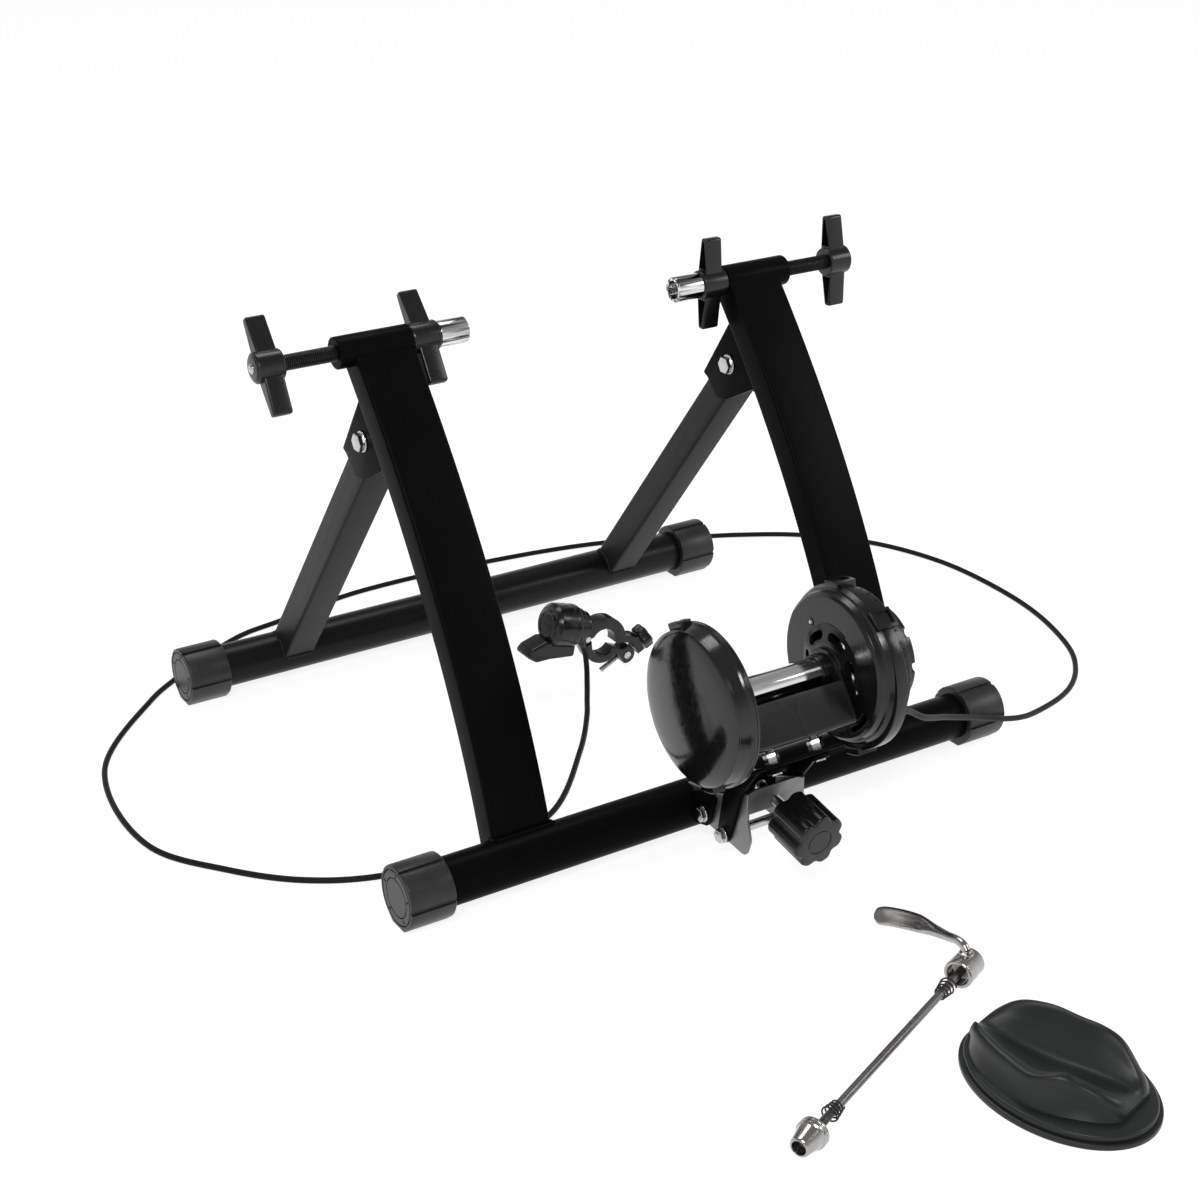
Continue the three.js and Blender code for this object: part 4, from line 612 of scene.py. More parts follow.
def pivot_bracket(centre):
    """Channel of 3 mm plate, welded to the upright's back along a stretch of its sweep."""
    half, wall = 18.5, 3
    face = [behind(0.79 + (0.939 - 0.79) * k / 8, DEPTH + 0.1) for k in range(9)]
    back = [PIVOT + Vector(p) for p in ((38, -17.3), (32, -20.3), (18, -34.3), (5, -33.3))]
    corners = [tuple(p) for p in face] + [(*p, 1.5) for p in back]
    body = shape(prism, fillet(corners, 3), centre - half, centre + half, edge=0.8, steps=3)
    room = [tuple(behind(0.7 + 0.32 * k / 12, DEPTH + 0.3 + wall)) for k in range(13)]
    room += [tuple(PIVOT + Vector(p)) for p in ((90, 60), (90, -90), (-20, -90))]
    hollow = shape(prism, room, centre - half + wall, centre + half - wall)
    return cut(body, hollow, pivot_hole(centre))


def through_bolt(half_grip, across=13, tall=4.5):
    """Bolt along +X: flanged hexagon head with a raised disc at -X, washer and nut at +X."""
    face = half_grip + 0.3
    top = face + 1.6 + tall
    flange = across * 0.65
    bm = bmesh.new()
    rod(bm, 3.9, -face, face + 8.2, edge=0.8)
    turned(bm, [(0, -face), (flange, -face, 0.3), (flange, -face - 1.2, 0.5),
                (flange - 1.7, -face - 1.6), (0, -face - 1.6)], sides=48)
    prism(bm, hexagon(across), -top, -face - 1.55, edge=0.7)
    turned(bm, [(0, -top - 0.25), (across * 0.28, -top - 0.25), (across * 0.35, -top + 0.05),
                (0, -top + 0.05)], sides=32)
    prism(bm, hexagon(across), face + 1.2, face + 6.5, edge=0.6)
    turned(bm, [(0, face), (flange, face, 0.3), (flange, face + 1.2, 0.3), (0, face + 1.2)],
           sides=48)
    turned(bm, [(4.2, face + 6.4), (5.4, face + 6.4), (5.2, face + 7.6, 0.6), (4.2, face + 7.6)],
           sides=32, closed=True)
    return bm


STRUT_HALF = 14.5


def strut(centre):
    half_depth = 14
    drop = Vector((REAR_TUBE_Y, TUBE_Z)) - PIVOT
    outline = circle(half_depth, 18, start=90, end=270)
    outline += [(drop.length, -half_depth), (drop.length, half_depth)]
    where = move(0, *PIVOT) @ Matrix.Rotation(math.atan2(drop.y, drop.x), 4, "X")
    body = shape(prism, outline, centre - STRUT_HALF, centre + STRUT_HALF, where, 2.5, 4)
    return cut(body, seat((REAR_TUBE_Y, TUBE_Z), 40, centre), pivot_hole(centre))


for hand, side in SIDES.items():
    centre = side * STANCE
    finished(pivot_bracket(centre), f"{hand}_pivot_plates", "stand", "frame_paint",
             f"{hand}_pivot_bracket", sharp=35)
    finished(through_bolt(18.5), f"{hand}_pivot_fastener", "stand", "bolt_steel",
             f"{hand}_pivot_bolt", sharp=30, at=move(centre, *PIVOT))
    finished(strut(centre), f"{hand}_strut_tube", "rear_leg", "strut_paint", f"{hand}_strut",
             sharp=35)
    welds = bmesh.new()
    for way in (-1, 1):
        edge = centre + way * (STRUT_HALF - 0.1)
        bead(welds, [on_tube(edge, REAR_TUBE_Y, a) for a in range(82, 177, 6)], 1.5)
    for angle in (82, 176):
        bead(welds, [on_tube(centre + x, REAR_TUBE_Y, angle) for x in range(-13, 14, 5)], 1.5)
    finished(welds, f"{hand}_strut_weld", "rear_leg", "strut_paint", sharp=60)

# Axle clamps

GAP = 0.3
SLEEVE_INNER = 146.2
LOCK_LENGTH = 24
HANDLE_LENGTH = 22
LOCK_FROM = SLEEVE_INNER - GAP - LOCK_LENGTH
CUP_BACK = LOCK_FROM - GAP
HANDLE_FROM = 274 - HANDLE_LENGTH
ROD_END = 274 - 4 - 1
CLAMP_PITCH = 1.75
# Turn of each grip from upright, in degrees
HANDLE_TILT = {"left": 33, "right": 6}
LOCK_TILT = {"left": 38, "right": -2}


def thread(bm, crest, root, pitch, start, end, at=IDENT, steps=20):
    """Screw thread along X, as one helical surface on a core."""
    profile = [(crest, 0.0), (crest, 0.2), (root, 0.5), (root, 0.7)]
    total = int((end - start) / pitch * steps)
    rows = [[bm.verts.new(at @ Vector((start + pitch * (k / steps + offset),
                                       *polar(radius, 2 * math.pi * k / steps))))
             for radius, offset in profile] for k in range(total + 1)]
    for k in range(total):
        for m in range(len(profile) - 1):
            bm.faces.new((rows[k][m], rows[k + 1][m], rows[k + 1][m + 1], rows[k][m + 1]))
        if k + steps + 1 <= total:
            bm.faces.new((rows[k][-1], rows[k + 1][-1], rows[k + steps + 1][0],
                          rows[k + steps][0]))
    return bm


def clamp_rod():
    bm = shape(turned, [
        (0, CUP_BACK - 7), (4, CUP_BACK - 7, 0.5), (4, LOCK_FROM), (5.35, LOCK_FROM + 0.2, 0.2),
        (5.35, ROD_END), (0, ROD_END),
    ], sides=32)
    return thread(bm, 6.25, 5.3, CLAMP_PITCH, LOCK_FROM + 0.4, ROD_END - 4)


def axle_cup():
    bottom = CUP_BACK - 24.5
    return shape(turned, [
        (0, bottom + 11), (6.4, bottom + 9.5, 0.6), (7.5, bottom + 0.4), (8, bottom, 0.4),
        (9.6, bottom, 0.5), (10.5, bottom + 1, 0.5), (10.5, CUP_BACK, 0.5), (4.3, CUP_BACK),
        (4.3, CUP_BACK - 7.3), (0, CUP_BACK - 7.3),
    ], sides=72)


def grip(hub_length, bore_end, pocket_at_far_face):
    """Two-armed handle along +X from 0, its arms hollowed from one face."""
    arm_to = hub_length - 4
    arm_from = arm_to - 16
    hub = shape(turned, [(0, 0), (11.4, 0, 0.6), (12, 1.4, 0.5), (12, hub_length - 1.2, 1.4),
                         (10, hub_length, 0.8), (0, hub_length)], sides=64)
    arms = shape(prism, fillet([
        (-7.5, 0, 6), (-3.5, -38.5, 2.4), (3.5, -38.5, 2.4),
        (7.5, 0, 6), (3.5, 38.5, 2.4), (-3.5, 38.5, 2.4),
    ], 4), arm_from, arm_to, edge=1.6)
    body = join(hub, arms)
    start, end = (arm_to - 9, arm_to + 6) if pocket_at_far_face else (arm_from - 6, arm_from + 9)
    pockets = bmesh.new()
    for way in (-1, 1):
        prism(pockets, fillet([(-5.3, way * 13, 1), (5.3, way * 13, 1), (1.3, way * 36.3, 1),
                               (-1.3, way * 36.3, 1)], 3), start, end)
    bore = shape(rod, 6.55, -6, bore_end, sides=32)
    return cut(body, bore, pockets)


for hand, side in SIDES.items():
    base = move(0, *SLEEVE) @ FLIP[side]
    finished(axle_cup(), f"{hand}_axle_socket", f"{hand}_cup", "chrome", f"{hand}_axle_cup",
             at=base)
    finished(clamp_rod(), f"{hand}_clamp_rod", f"{hand}_screw", "thread_steel",
             f"{hand}_clamp_screw", at=base, sharp=50)
    where = base @ move(HANDLE_FROM, 0, 0) @ turn_x(-HANDLE_TILT[hand])
    finished(grip(HANDLE_LENGTH, ROD_END - HANDLE_FROM + GAP, False), f"{hand}_clamp_grip",
             f"{hand}_screw", "handle_plastic", f"{hand}_clamp_handle", at=where)
    finished(shape(turned, [(0, 22), (9.4, 22), (9.4, 22.5, 0.3), (5, 22.8), (0, 22.8)], sides=48),
             f"{hand}_clamp_washer", f"{hand}_screw", "handle_plastic", at=where)
    head = shape(turned, [(0, 22.6), (4, 22.6), (4, 23.4, 0.5), (2.5, 24.6, 0.8), (0, 24.9)],
                 sides=32)
    finished(cut(head, shape(box, (24.1, -3, -0.5), (26, 3, 0.5))), f"{hand}_clamp_end_screw",
             f"{hand}_screw", "bolt_steel", at=where, sharp=30)
    where = base @ move(SLEEVE_INNER - GAP, 0, 0) @ turn_x(-LOCK_TILT[hand]) @ MIRROR
    finished(grip(LOCK_LENGTH, 30, True), f"{hand}_lock_grip", f"{hand}_lock", "handle_plastic",
             f"{hand}_lock_knob", at=where)

# Zinc-plated bracket and its bolts

CROSS_BOLT = (-28.3, 30.4)
UNIT_PIVOT = (-54.4, 24.8)
FRONT_WALL = -79.5


def zinc_bracket():
    cheek = fillet([
        (0, 44), (-40, 52, 4), (FRONT_WALL + 2.5, 70, 1), (FRONT_WALL, 70, 1),
        (FRONT_WALL, 47.5, 4), (-84, 32, 9), (-79, 16.5, 7), (-25, 21, 3), (0, 21),
    ], 5)
    half, wall = 26.5, 2.5
    body = shape(plates, cheek, half - wall, half)
    outline = [(-half, 52.5, 2), (half, 52.5, 2), (half, 72, 12), (-half, 72, 12)]
    front = shape(prism, fillet(outline, 8), FRONT_WALL, FRONT_WALL + wall, LEAF, edge=0.5, steps=2)
    tube_tool = shape(rod, TUBE_R + 0.2, -40, 40, move(0, 0, TUBE_Z), sides=96)
    return cut(join(front, body), tube_tool)


finished(zinc_bracket(), "zinc_cradle", "stand", "bracket_zinc", "zinc_bracket", sharp=35)
for name, spot in (("bracket_cross", CROSS_BOLT), ("unit_pivot", UNIT_PIVOT)):
    finished(through_bolt(30, 10, 3.4), f"{name}_fastener", "stand", "bolt_steel", f"{name}_bolt",
             sharp=30, at=move(0, *spot))

# Tension screw and its knob

SLOPE = rad(9.7)
HEADING = (0, math.cos(SLOPE), math.sin(SLOPE))
MOUTH = (0, FRONT_WALL + 1.25, 58.5)
ALONG_SCREW = aim(HEADING, MOUTH)
LIP_FRONT = -52
PAD_FRONT = (LIP_FRONT - GAP - MOUTH[1]) / math.cos(SLOPE)
PAD_LENGTH = 8
SCREW_TIP = PAD_FRONT - PAD_LENGTH - GAP
TENSION_PITCH = 1.25
KNOB_FACE = -21
KNOB_BACK = KNOB_FACE - 36
pad = shape(turned, [
    (0, PAD_FRONT), (1.3, PAD_FRONT - 0.25, 1), (2.5, PAD_FRONT - 1, 0.4),
    (5, PAD_FRONT - 4.5, 0.5), (5, PAD_FRONT - PAD_LENGTH, 0.5), (0, PAD_FRONT - PAD_LENGTH),
], ALONG_SCREW, 40)
finished(pad, "tension_button", "pad", "bolt_steel", "tension_pad")
screw_body = shape(rod, 3.35, KNOB_FACE - 18, SCREW_TIP, ALONG_SCREW)
thread(screw_body, 4, 3.3, TENSION_PITCH, KNOB_FACE - 4, SCREW_TIP - 1.6, ALONG_SCREW, 24)
finished(screw_body, "tension_thread", "tension", "bolt_steel", "tension_screw", sharp=50)


def lobed(radius, lobes, depth, count):
    """Outline of a knob with rounded lobes."""
    return [polar(radius - depth * (0.5 - 0.5 * math.cos(lobes * a)) ** 2, a)
            for a in whole_turn(count)]


knob = shape(prism, lobed(22, 7, 3.5, 140), KNOB_BACK, KNOB_FACE, ALONG_SCREW, edge=1.8, steps=4)
knob = cut(knob, shape(rod, 4.3, KNOB_FACE - 19, 10, ALONG_SCREW),
           shape(tube, 7, 14, KNOB_FACE - 5, KNOB_FACE + 1, ALONG_SCREW, 48),
           shape(tube, 9.6, 10.4, KNOB_BACK - 1, KNOB_BACK + 0.7, ALONG_SCREW))
finished(knob, "tension_grip", "tension", "handle_plastic", "tension_knob", sharp=32)

# Resistance unit in its own leaned axes

UNIT_Y, UNIT_Z, UNIT_LEAN = -69, 150, 35
UNIT = move(0, UNIT_Y, UNIT_Z) @ turn_x(-UNIT_LEAN)
LEAN_SIN, LEAN_COS = math.sin(rad(UNIT_LEAN)), math.cos(rad(UNIT_LEAN))


def in_unit(y, z):
    dy, dz = y - UNIT_Y, z - UNIT_Z
    return (dy * LEAN_COS - dz * LEAN_SIN, dy * LEAN_SIN + dz * LEAN_COS)


def reach_at(y, level):
    """Own Y of the unit at which a level of its own Z meets a place Y of the floor's axes."""
    dy = y - UNIT_Y
    return dy * LEAN_COS - (level - dy * LEAN_SIN) / LEAN_COS * LEAN_SIN


def trough():
    channel = shape(prism, fillet([
        (-20, -12, 0.6), (-20, -45, 3.4), (20, -45, 3.4), (20, -12, 0.6), (17.5, -12, 0.6),
        (17.5, -42.5, 1), (-17.5, -42.5, 1), (-17.5, -12, 0.6),
    ], 4), -47.2, 47.2)
    outline = [(-20, -45, 3), (20, -45, 3), (20, -12, 4)]
    outline += circle(17, 24, start=-2, end=182) + [(-20, -12, 4)]
    ends = shape(plates, fillet(outline, 3), 47, 50)
    crease = shape(box, (2.4, -20.4, -44), (3.4, -19.5, -14), edge=0.3)
    return cut(join(channel, ends, crease), shape(rod, 11.3, -60, 60, sides=64))


finished(trough(), "roller_channel", "unit", "frame_paint", "roller_trough", at=UNIT, sharp=35,
         look="trough_paint")
for hand, side in SIDES.items():
    stud = shape(rod, 4, -64, -40.5, sides=24, edge=0.6)
    prism(stud, hexagon(10.5), -55.2, -46.5, edge=0.5, steps=2)
    prism(stud, hexagon(13), -42.3, -38.6, edge=0.6, steps=2)
    where = UNIT @ move(side * 20, -1, 0) @ UP
    finished(stud, f"{hand}_stud_nuts", "unit", "bolt_steel", f"{hand}_stud", at=where, sharp=30)
    finished(shape(prism, hexagon(13), -62.8, -58.6, edge=0.6, steps=2), f"{hand}_weld_nut", "unit",
             "frame_paint", at=where, sharp=30)


def swing_arm():
    top, under = -55.5, -58.5
    rear = reach_at(LIP_FRONT, under)
    plan = fillet([
        (-38, -14, 4), (38, -14, 4), (38, 16, 3), (30, 24, 3), (30, rear), (-30, rear),
        (-30, 24, 3), (-38, 16, 3),
    ], 4)
    body = shape(prism, plan, under, top, PLAN, edge=0.5, steps=2)
    y, z = in_unit(*UNIT_PIVOT)
    cheeks = shape(plates, fillet([
        (8, under + 0.3), (40.2, -69.5, 7), (59.7, -85.2, 6), (y - 7, z - 3.6, 4),
        (y, z - 7, 4), (y + 7, z - 2.4, 4), (y + 3.6, z + 7.5, 4), (58.1, under + 0.3),
    ], 5), 27, 30)
    lip_back, lip_low = LIP_FRONT + 3, 54
    lip = shape(prism, [
        in_unit(LIP_FRONT, lip_low), in_unit(lip_back, lip_low), (reach_at(lip_back, top), top),
        (rear - 1, top), (rear - 1, under), (rear, under),
    ], -20, 20)
    return join(body, cheeks, lip)


finished(swing_arm(), "swing_plate", "unit", "frame_paint", "swing_arm", at=UNIT, sharp=35)

roller = shape(turned, [
    (0, -66), (4, -66, 0.4), (4, -45), (10.9, -45, 0.4), (11.5, -44.2, 0.3), (11.5, 44.2, 0.3),
    (10.9, 45, 0.4), (4, 45), (4, 72), (50, 72, 0.4), (50, 75, 0.4), (4, 75), (4, 76), (0, 76),
], UNIT, 96)
finished(roller, "roller_drum", "rotor", "chrome", "roller", sharp=35, look="roller_chrome")
for hand, side in SIDES.items():
    where = UNIT @ FLIP[side]
    bearing = shape(turned, [(4.3, 45.6, 0.3), (11, 45.6, 0.6), (11, 52, 0.6), (4.3, 52, 0.3)],
                    closed=True, sides=48)
    bearing = cut(bearing, shape(tube, 6.5, 9, 45, 46.1, sides=48))
    finished(bearing, f"{hand}_bearing_ring", "unit", "bolt_steel", f"{hand}_bearing", at=where)
    shroud = shape(turned, [
        (11.9, 38.6), (13, 38.6, 0.3), (13.3, 40.4, 0.3), (12.7, 40.8, 0.2), (12.7, 41.6, 0.2),
        (13.8, 42, 0.3), (13.8, 44.4, 0.3), (13.2, 44.8, 0.2), (13.2, 46.8, 0.2), (11.9, 46.8),
    ], where, 72, True)
    finished(shroud, f"{hand}_bearing_shroud", "unit", "housing_plastic", sharp=30)


def on_circle(radius, degrees):
    return polar(radius, rad(degrees))


def arc_block(bm, inner, outer, middle, half, start, end, edge=0.0, steps=16):
    """Block between two radii, round the unit's axis; angles from level to the rear."""
    one, two = middle - half + UNIT_LEAN, middle + half + UNIT_LEAN
    outline = circle(outer, steps, start=one, end=two) + circle(inner, steps, start=two, end=one)
    return prism(bm, outline, start, end, edge=edge)


def round_slot(bm, inner, outer, middle, half, start, end):
    """Slot with round ends between two radii, round the unit's axis."""
    one, two = middle - half + UNIT_LEAN, middle + half + UNIT_LEAN
    centre_line, cap = (inner + outer) / 2, (outer - inner) / 2
    outline = circle(outer, 14, start=one, end=two)
    outline += circle(cap, 8, on_circle(centre_line, two), two, two + 180)[1:-1]
    outline += circle(inner, 14, start=two, end=one)
    outline += circle(cap, 8, on_circle(centre_line, one), one + 180, one + 360)[1:-1]
    return prism(bm, outline, start, end)


# Left cover with its dished back plate

# Shares of the dome's radius and of its height, from the crown to the shoulder
DOME = [Vector(p) for p in (
    (0, 0), (0.26, 0.045), (0.5, 0.17), (0.72, 0.38), (0.88, 0.62), (0.97, 0.86), (1, 1))]


def cover():
    crown, shoulder, shoulder_x = 80, 58, 71.5
    spots = [catmull(DOME, k / 28) for k in range(1, 29)]
    outer = [(0, crown)] + [(p.x * shoulder, crown - p.y * (crown - shoulder_x)) for p in spots] + [
        (58.7, 70.9, 0.3), (58.9, 69.6, 0.4), (58.5, 69.0, 0.2), (59.3, 66.5), (60.6, 61.2, 0.5),
        (61.6, 59.6, 0.6), (62.4, 58.8, 0.5), (62.4, 57.2, 0.4), (59.9, 57.1, 0.3),
    ]
    inner = [(57, 69), (45, 73.5), (28, 76), (0, 77.3)]
    body = shape(turned, outer + inner, sides=128)
    clips, slots = bmesh.new(), bmesh.new()
    for angle in (62, 255):
        arc_block(clips, 59, 64.6, angle, 8, 57.2, 67.3, edge=0.9)
        arc_block(slots, 61.8, 66, angle, 5.6, 58.8, 64.6)
    return cut(join(body, clips), slots)


finished(cover(), "flywheel_dome", "unit", "cover_plastic", "flywheel_cover",
         at=UNIT @ MIRROR, sharp=32)
back_plate = shape(turned, [
    (11.6, 53.3, 0.4), (30, 53.3, 1), (35, 56.8, 1), (62.3, 56.8, 0.5), (62.3, 54.7, 0.8),
    (38, 54.7, 1), (33, 50.3, 1), (11.6, 50.3, 0.4),
], UNIT @ MIRROR, 96, True)
finished(back_plate, "dome_back", "unit", "cover_plastic", "cover_back_plate", sharp=35)

# Magnet housing: slotted front shell, stepped rear shell and the magnet carrier's dial

# Angle from level and reach from the axis of each screw in the front shell
SCREWS = {"upper": (46, 38), "lower": (-166, 32)}


def screw_place(angle, reach):
    return turn_x(angle + UNIT_LEAN) @ move(0, reach, 0)


def front_shell():
    body = shape(turned, [
        (11.6, 50.3, 0.4), (17.4, 50.3, 0.6), (18.2, 51.2, 0.3), (20.4, 51.4, 0.4), (33.5, 55.5, 2),
        (54.9, 55.5, 1.4), (57.4, 57.2, 1.2), (58.6, 61.8, 0.4), (60.2, 62.6, 0.4), (62.2, 66, 0.4),
        (62.2, 66.8, 0.2), (60.2, 66.8), (54.9, 58), (11.6, 58),
    ], sides=128, closed=True)
    slots = bmesh.new()
    for k in range(6):
        round_slot(slots, 22.5, 29.5, 48 + 60 * k, 15, 44, 66)
    round_slot(slots, 47.6, 51.6, 222, 12, 48, 66)
    details = bmesh.new()
    arc_block(details, 33.8, 34.5, 88, 28, 54.9, 55.9, edge=0.2)
    arc_block(details, 45, 45.8, 222, 15, 54.9, 55.9, edge=0.2)
    for spot in SCREWS.values():
        tube(details, 2.2, 3.4, 54.9, 55.9, screw_place(*spot), 24)
    return join(cut(body, slots), details)


finished(front_shell(), "housing_face", "unit", "housing_plastic", "magnet_front_shell",
         at=UNIT, sharp=32)
for name, spot in SCREWS.items():
    head = shape(turned, [(0, 54.5), (1.4, 54.6, 0.6), (2.1, 55.3, 0.3), (2.1, 57), (0, 57)],
                 UNIT @ screw_place(*spot), 24)
    finished(head, f"housing_screw_{name}", "unit", "bolt_steel")


def rear_shell():
    """Stepped drum whose wide lip hangs a little below the axis, with three snap clips."""
    drum = shape(turned, [
        (61, 77.2, 0.4), (56.6, 79.6, 0.6), (56, 80.6, 0.4), (56, 86.4, 0.8), (46.6, 88.3, 0.8),
        (46, 89.5, 0.4), (46, 96, 0.8), (0, 96), (0, 93.5), (43.5, 93.5), (43.5, 88.5),
        (53.5, 86), (53.5, 77.2),
    ], sides=128, closed=True)
    hang = move(0, 2.1, -3)
    lip = shape(rod, 64.3, 67.1, 77.6, hang, 128, 0.9)
    lip = cut(lip, shape(rod, 62, 69.3, 75.4, hang, 128), shape(rod, 57.4, 60, 75.2, sides=128),
              shape(rod, 54, 70, 80, sides=128))
    clips, slots = bmesh.new(), bmesh.new()
    for angle, inner in ((78, 59), (127, 60.4), (252, 64.4)):
        arc_block(clips, inner, inner + 6.2, angle, 7, 62.6, 80, edge=0.7, steps=8)
        arc_block(slots, inner + 4.6, inner + 9, angle, 4.6, 65.2, 77.4, steps=8)
    ribs = bmesh.new()
    for k in range(36):
        box(ribs, (81, 55.2, -0.6), (85.8, 56.45, 0.6), turn_x(10 * k), edge=0.3)
    spigot = shape(rod, 6, 95.9, 103.5, sides=32)
    return join(drum, lip, cut(as_object(clips), slots), ribs, spigot)


finished(rear_shell(), "housing_drum", "unit", "housing_plastic", "magnet_rear_shell",
         at=UNIT, sharp=32)


def dial():
    radius, notch, count = 39.4, 3.6, 9
    half = math.degrees(math.asin(notch / radius))
    outline = []
    for k in range(count):
        middle = 90 + 360 / count * k
        outline += circle(radius, 12, start=middle - 360 / count + half, end=middle - half)
        outline += circle(notch, 8, on_circle(radius, middle), middle - 90, middle - 270)[1:-1]
    body = shape(prism, outline, 97, 105, edge=1.2, steps=3)
    return cut(body, shape(rod, 6.3, 90, 110, sides=32), shape(tube, 28, 34, 104.2, 106, sides=96))


finished(dial(), "magnet_carrier", "dial", "housing_plastic", "magnet_dial", at=UNIT, sharp=32)
flywheel = shape(turned, [(4.3, -66.5, 0.4), (54, -66.5, 1), (54, -57.5, 1), (4.3, -57.5, 0.4)],
                 UNIT, 96, True)
finished(flywheel, "flywheel_disc", "rotor", "flywheel_iron", "flywheel")

# Cable gland

GLAND_AIM = Vector((21, 13, -12))
GLAND_R = 4.5
gland_lift = GLAND_R * math.sin(math.acos(GLAND_AIM.x / GLAND_AIM.length))
across, high = on_circle(46.5, -131.5)
GLAND_BASE = (96.3 + gland_lift, UNIT_Y + across, UNIT_Z + high)
rows = [(0, 0), (GLAND_R, 0, 0.4)]
for k in range(6):
    outer, start = 4.45 - 0.85 * k / 5, 1.2 + 1.9 * k
    rows += [(outer, start, 0.2), (outer, start + 1.1, 0.2), (outer - 0.5, start + 1.3, 0.2),
             (outer - 0.5, start + 1.7, 0.2)]
rows += [(3.5, 13, 0.4), (0, 13)]
finished(shape(turned, rows, aim(GLAND_AIM, GLAND_BASE), 32, steps=2), "gland_sleeve", "unit",
         "cable_rubber", "cable_gland")

# Shifter, in its own plane from the handlebar hole's centre

SHIFTER = move(63.6, 271.3, 33.418)
SHIFTER_PLANE = SHIFTER @ LEAF
HALF_THICK = 7.5
SCREW_LEAN = rad(26.5)
CROSS = (24.4, -19)
CROSS_PLACE = SHIFTER @ move(CROSS[0], 0, CROSS[1])
HINGE = (-19, 9)
HINGE_PLACE = SHIFTER @ move(HINGE[0], 0, HINGE[1]) @ turn_z(90)
ALONG_THUMB = SHIFTER @ aim((math.cos(SCREW_LEAN), 0, math.sin(SCREW_LEAN)),
                            (CROSS[0], 0, CROSS[1]))
BARREL_LEAN = rad(16.8)
BARREL = SHIFTER @ aim((-math.cos(BARREL_LEAN), 0, math.sin(BARREL_LEAN)), (-18.6, 0, 18.1))


def along_screw(t, side):
    return (CROSS[0] + t * math.cos(SCREW_LEAN) - side * math.sin(SCREW_LEAN),
            CROSS[1] + t * math.sin(SCREW_LEAN) + side * math.cos(SCREW_LEAN))


def shifter_body():
    outline = [(-18.6, 32.1)] + circle(23, 30, start=118, end=2)
    outline += [along_screw(*spot) for spot in (
        (18.6, 6.5), (17.6, 7.5), (17.6, -7.5), (10, -7.5), (10, 6.75))]
    outline += circle(12.5, 26, start=-14, end=145)
    outline += circle(6.5, 12, HINGE, -20, -160) + [(-25.1, 18.1)]
    arch = shape(prism, outline, -HALF_THICK, HALF_THICK, SHIFTER_PLANE, edge=0.8, steps=3)
    barrel = shape(turned, [
        (0, -1), (14, -1), (14, 5, 0.6), (16.5, 5.2, 0.5), (16.5, 10, 0.5), (19.2, 11.4, 0.8),
        (19.5, 13), (19.5, 17, 0.2), (19.1, 17.3, 0.2), (19.1, 18.1, 0.2), (19.5, 18.4, 0.2),
        (19.5, 33.2, 1.4), (16.5, 36.6, 1), (13, 37.2, 0.5), (13, 38.4, 0.5), (12, 38.8, 0.4),
        (10.2, 38.8, 0.3), (9.6, 38.1, 0.3), (0, 38.1),
    ], BARREL, 72)
    fork = shape(prism, circle(6.8, 24, HINGE), -4.05, 4.05, SHIFTER_PLANE)
    body = cut(join(arch, barrel), shape(rod, 2.8, 0, 25, ALONG_THUMB), fork,
               shape(rod, 3.3, -15, 15, HINGE_PLACE))
    boss = shape(turned, [
        (0, 0), (3.4, 0), (3.4, 5, 0.3), (3, 5.4, 0.2), (3.3, 5.9, 0.2), (3, 11, 0.5), (0, 11),
    ], SHIFTER @ aim((3.5, 0.2, -10.5), (-29, -12.5, 14.5)), 28)
    ticks = bmesh.new()
    for k in range(7):
        where = BARREL @ turn_x(200 + 16 * k)
        box(ticks, (22, 19.3, -0.35), (25.5 if k % 3 else 28, 19.75, 0.35), where, edge=0.1)
    box(ticks, (37.9, -6.5, -0.7), (38.7, 6.5, 0.7), BARREL, edge=0.2)
    return join(body, boss, ticks)


finished(shifter_body(), "shifter_housing", "stand", "housing_plastic", "shifter_body", sharp=32)


def shifter_lever():
    reach = 84.7
    shares = [
        (-0.4, -0.045, 0.035), (-0.693, -0.006, 0.118), (-0.85, -0.004, 0.071),
        (-0.97, 0.085, 0.047), (-0.9, 0.155, 0.047), (-0.72, 0.207, 0.047), (-0.366, 0.118, 0.047),
    ]
    outline = fillet([tuple(s * reach for s in corner) for corner in shares], 6)
    paddle = shape(prism, outline, -11, 11, SHIFTER_PLANE, edge=2.2, steps=4)
    room = shape(lathe, [(0, -1.3), (14.3, -1.3), (14.3, 4.7), (16.8, 5), (16.8, 9.7), (19.8, 12.2),
                         (19.8, 34.3), (13.3, 37.5), (12.3, 39.1), (0, 39.1)], BARREL, 64)
    return cut(paddle, room)


finished(shifter_lever(), "shifter_paddle", "thumb_lever", "handle_plastic", "shifter_lever",
         sharp=32)


def shifter_jaw():
    outline = circle(6.5, 26, HINGE, -20, 215)
    outline += circle(20.5, 24, start=202, end=312)
    outline += circle(8.5, 26, CROSS, 250, 485)
    outline += circle(12.5, 26, start=-38, end=-165)
    body = shape(prism, fillet(outline, 3), -HALF_THICK, HALF_THICK, SHIFTER_PLANE, 1.4, 3)
    rooms = [shape(prism, circle(8.3, 24, HINGE), start, end, SHIFTER_PLANE)
             for start, end in ((-15, -3.75), (3.75, 15))]
    return cut(body, *rooms, shape(rod, 3.3, -15, 15, HINGE_PLACE),
               shape(box, (-27.3, -3.1, -3.1), (27.3, 3.1, 4.9), ALONG_THUMB),
               shape(rod, 3.8, -15, 15, CROSS_PLACE @ turn_z(90)))


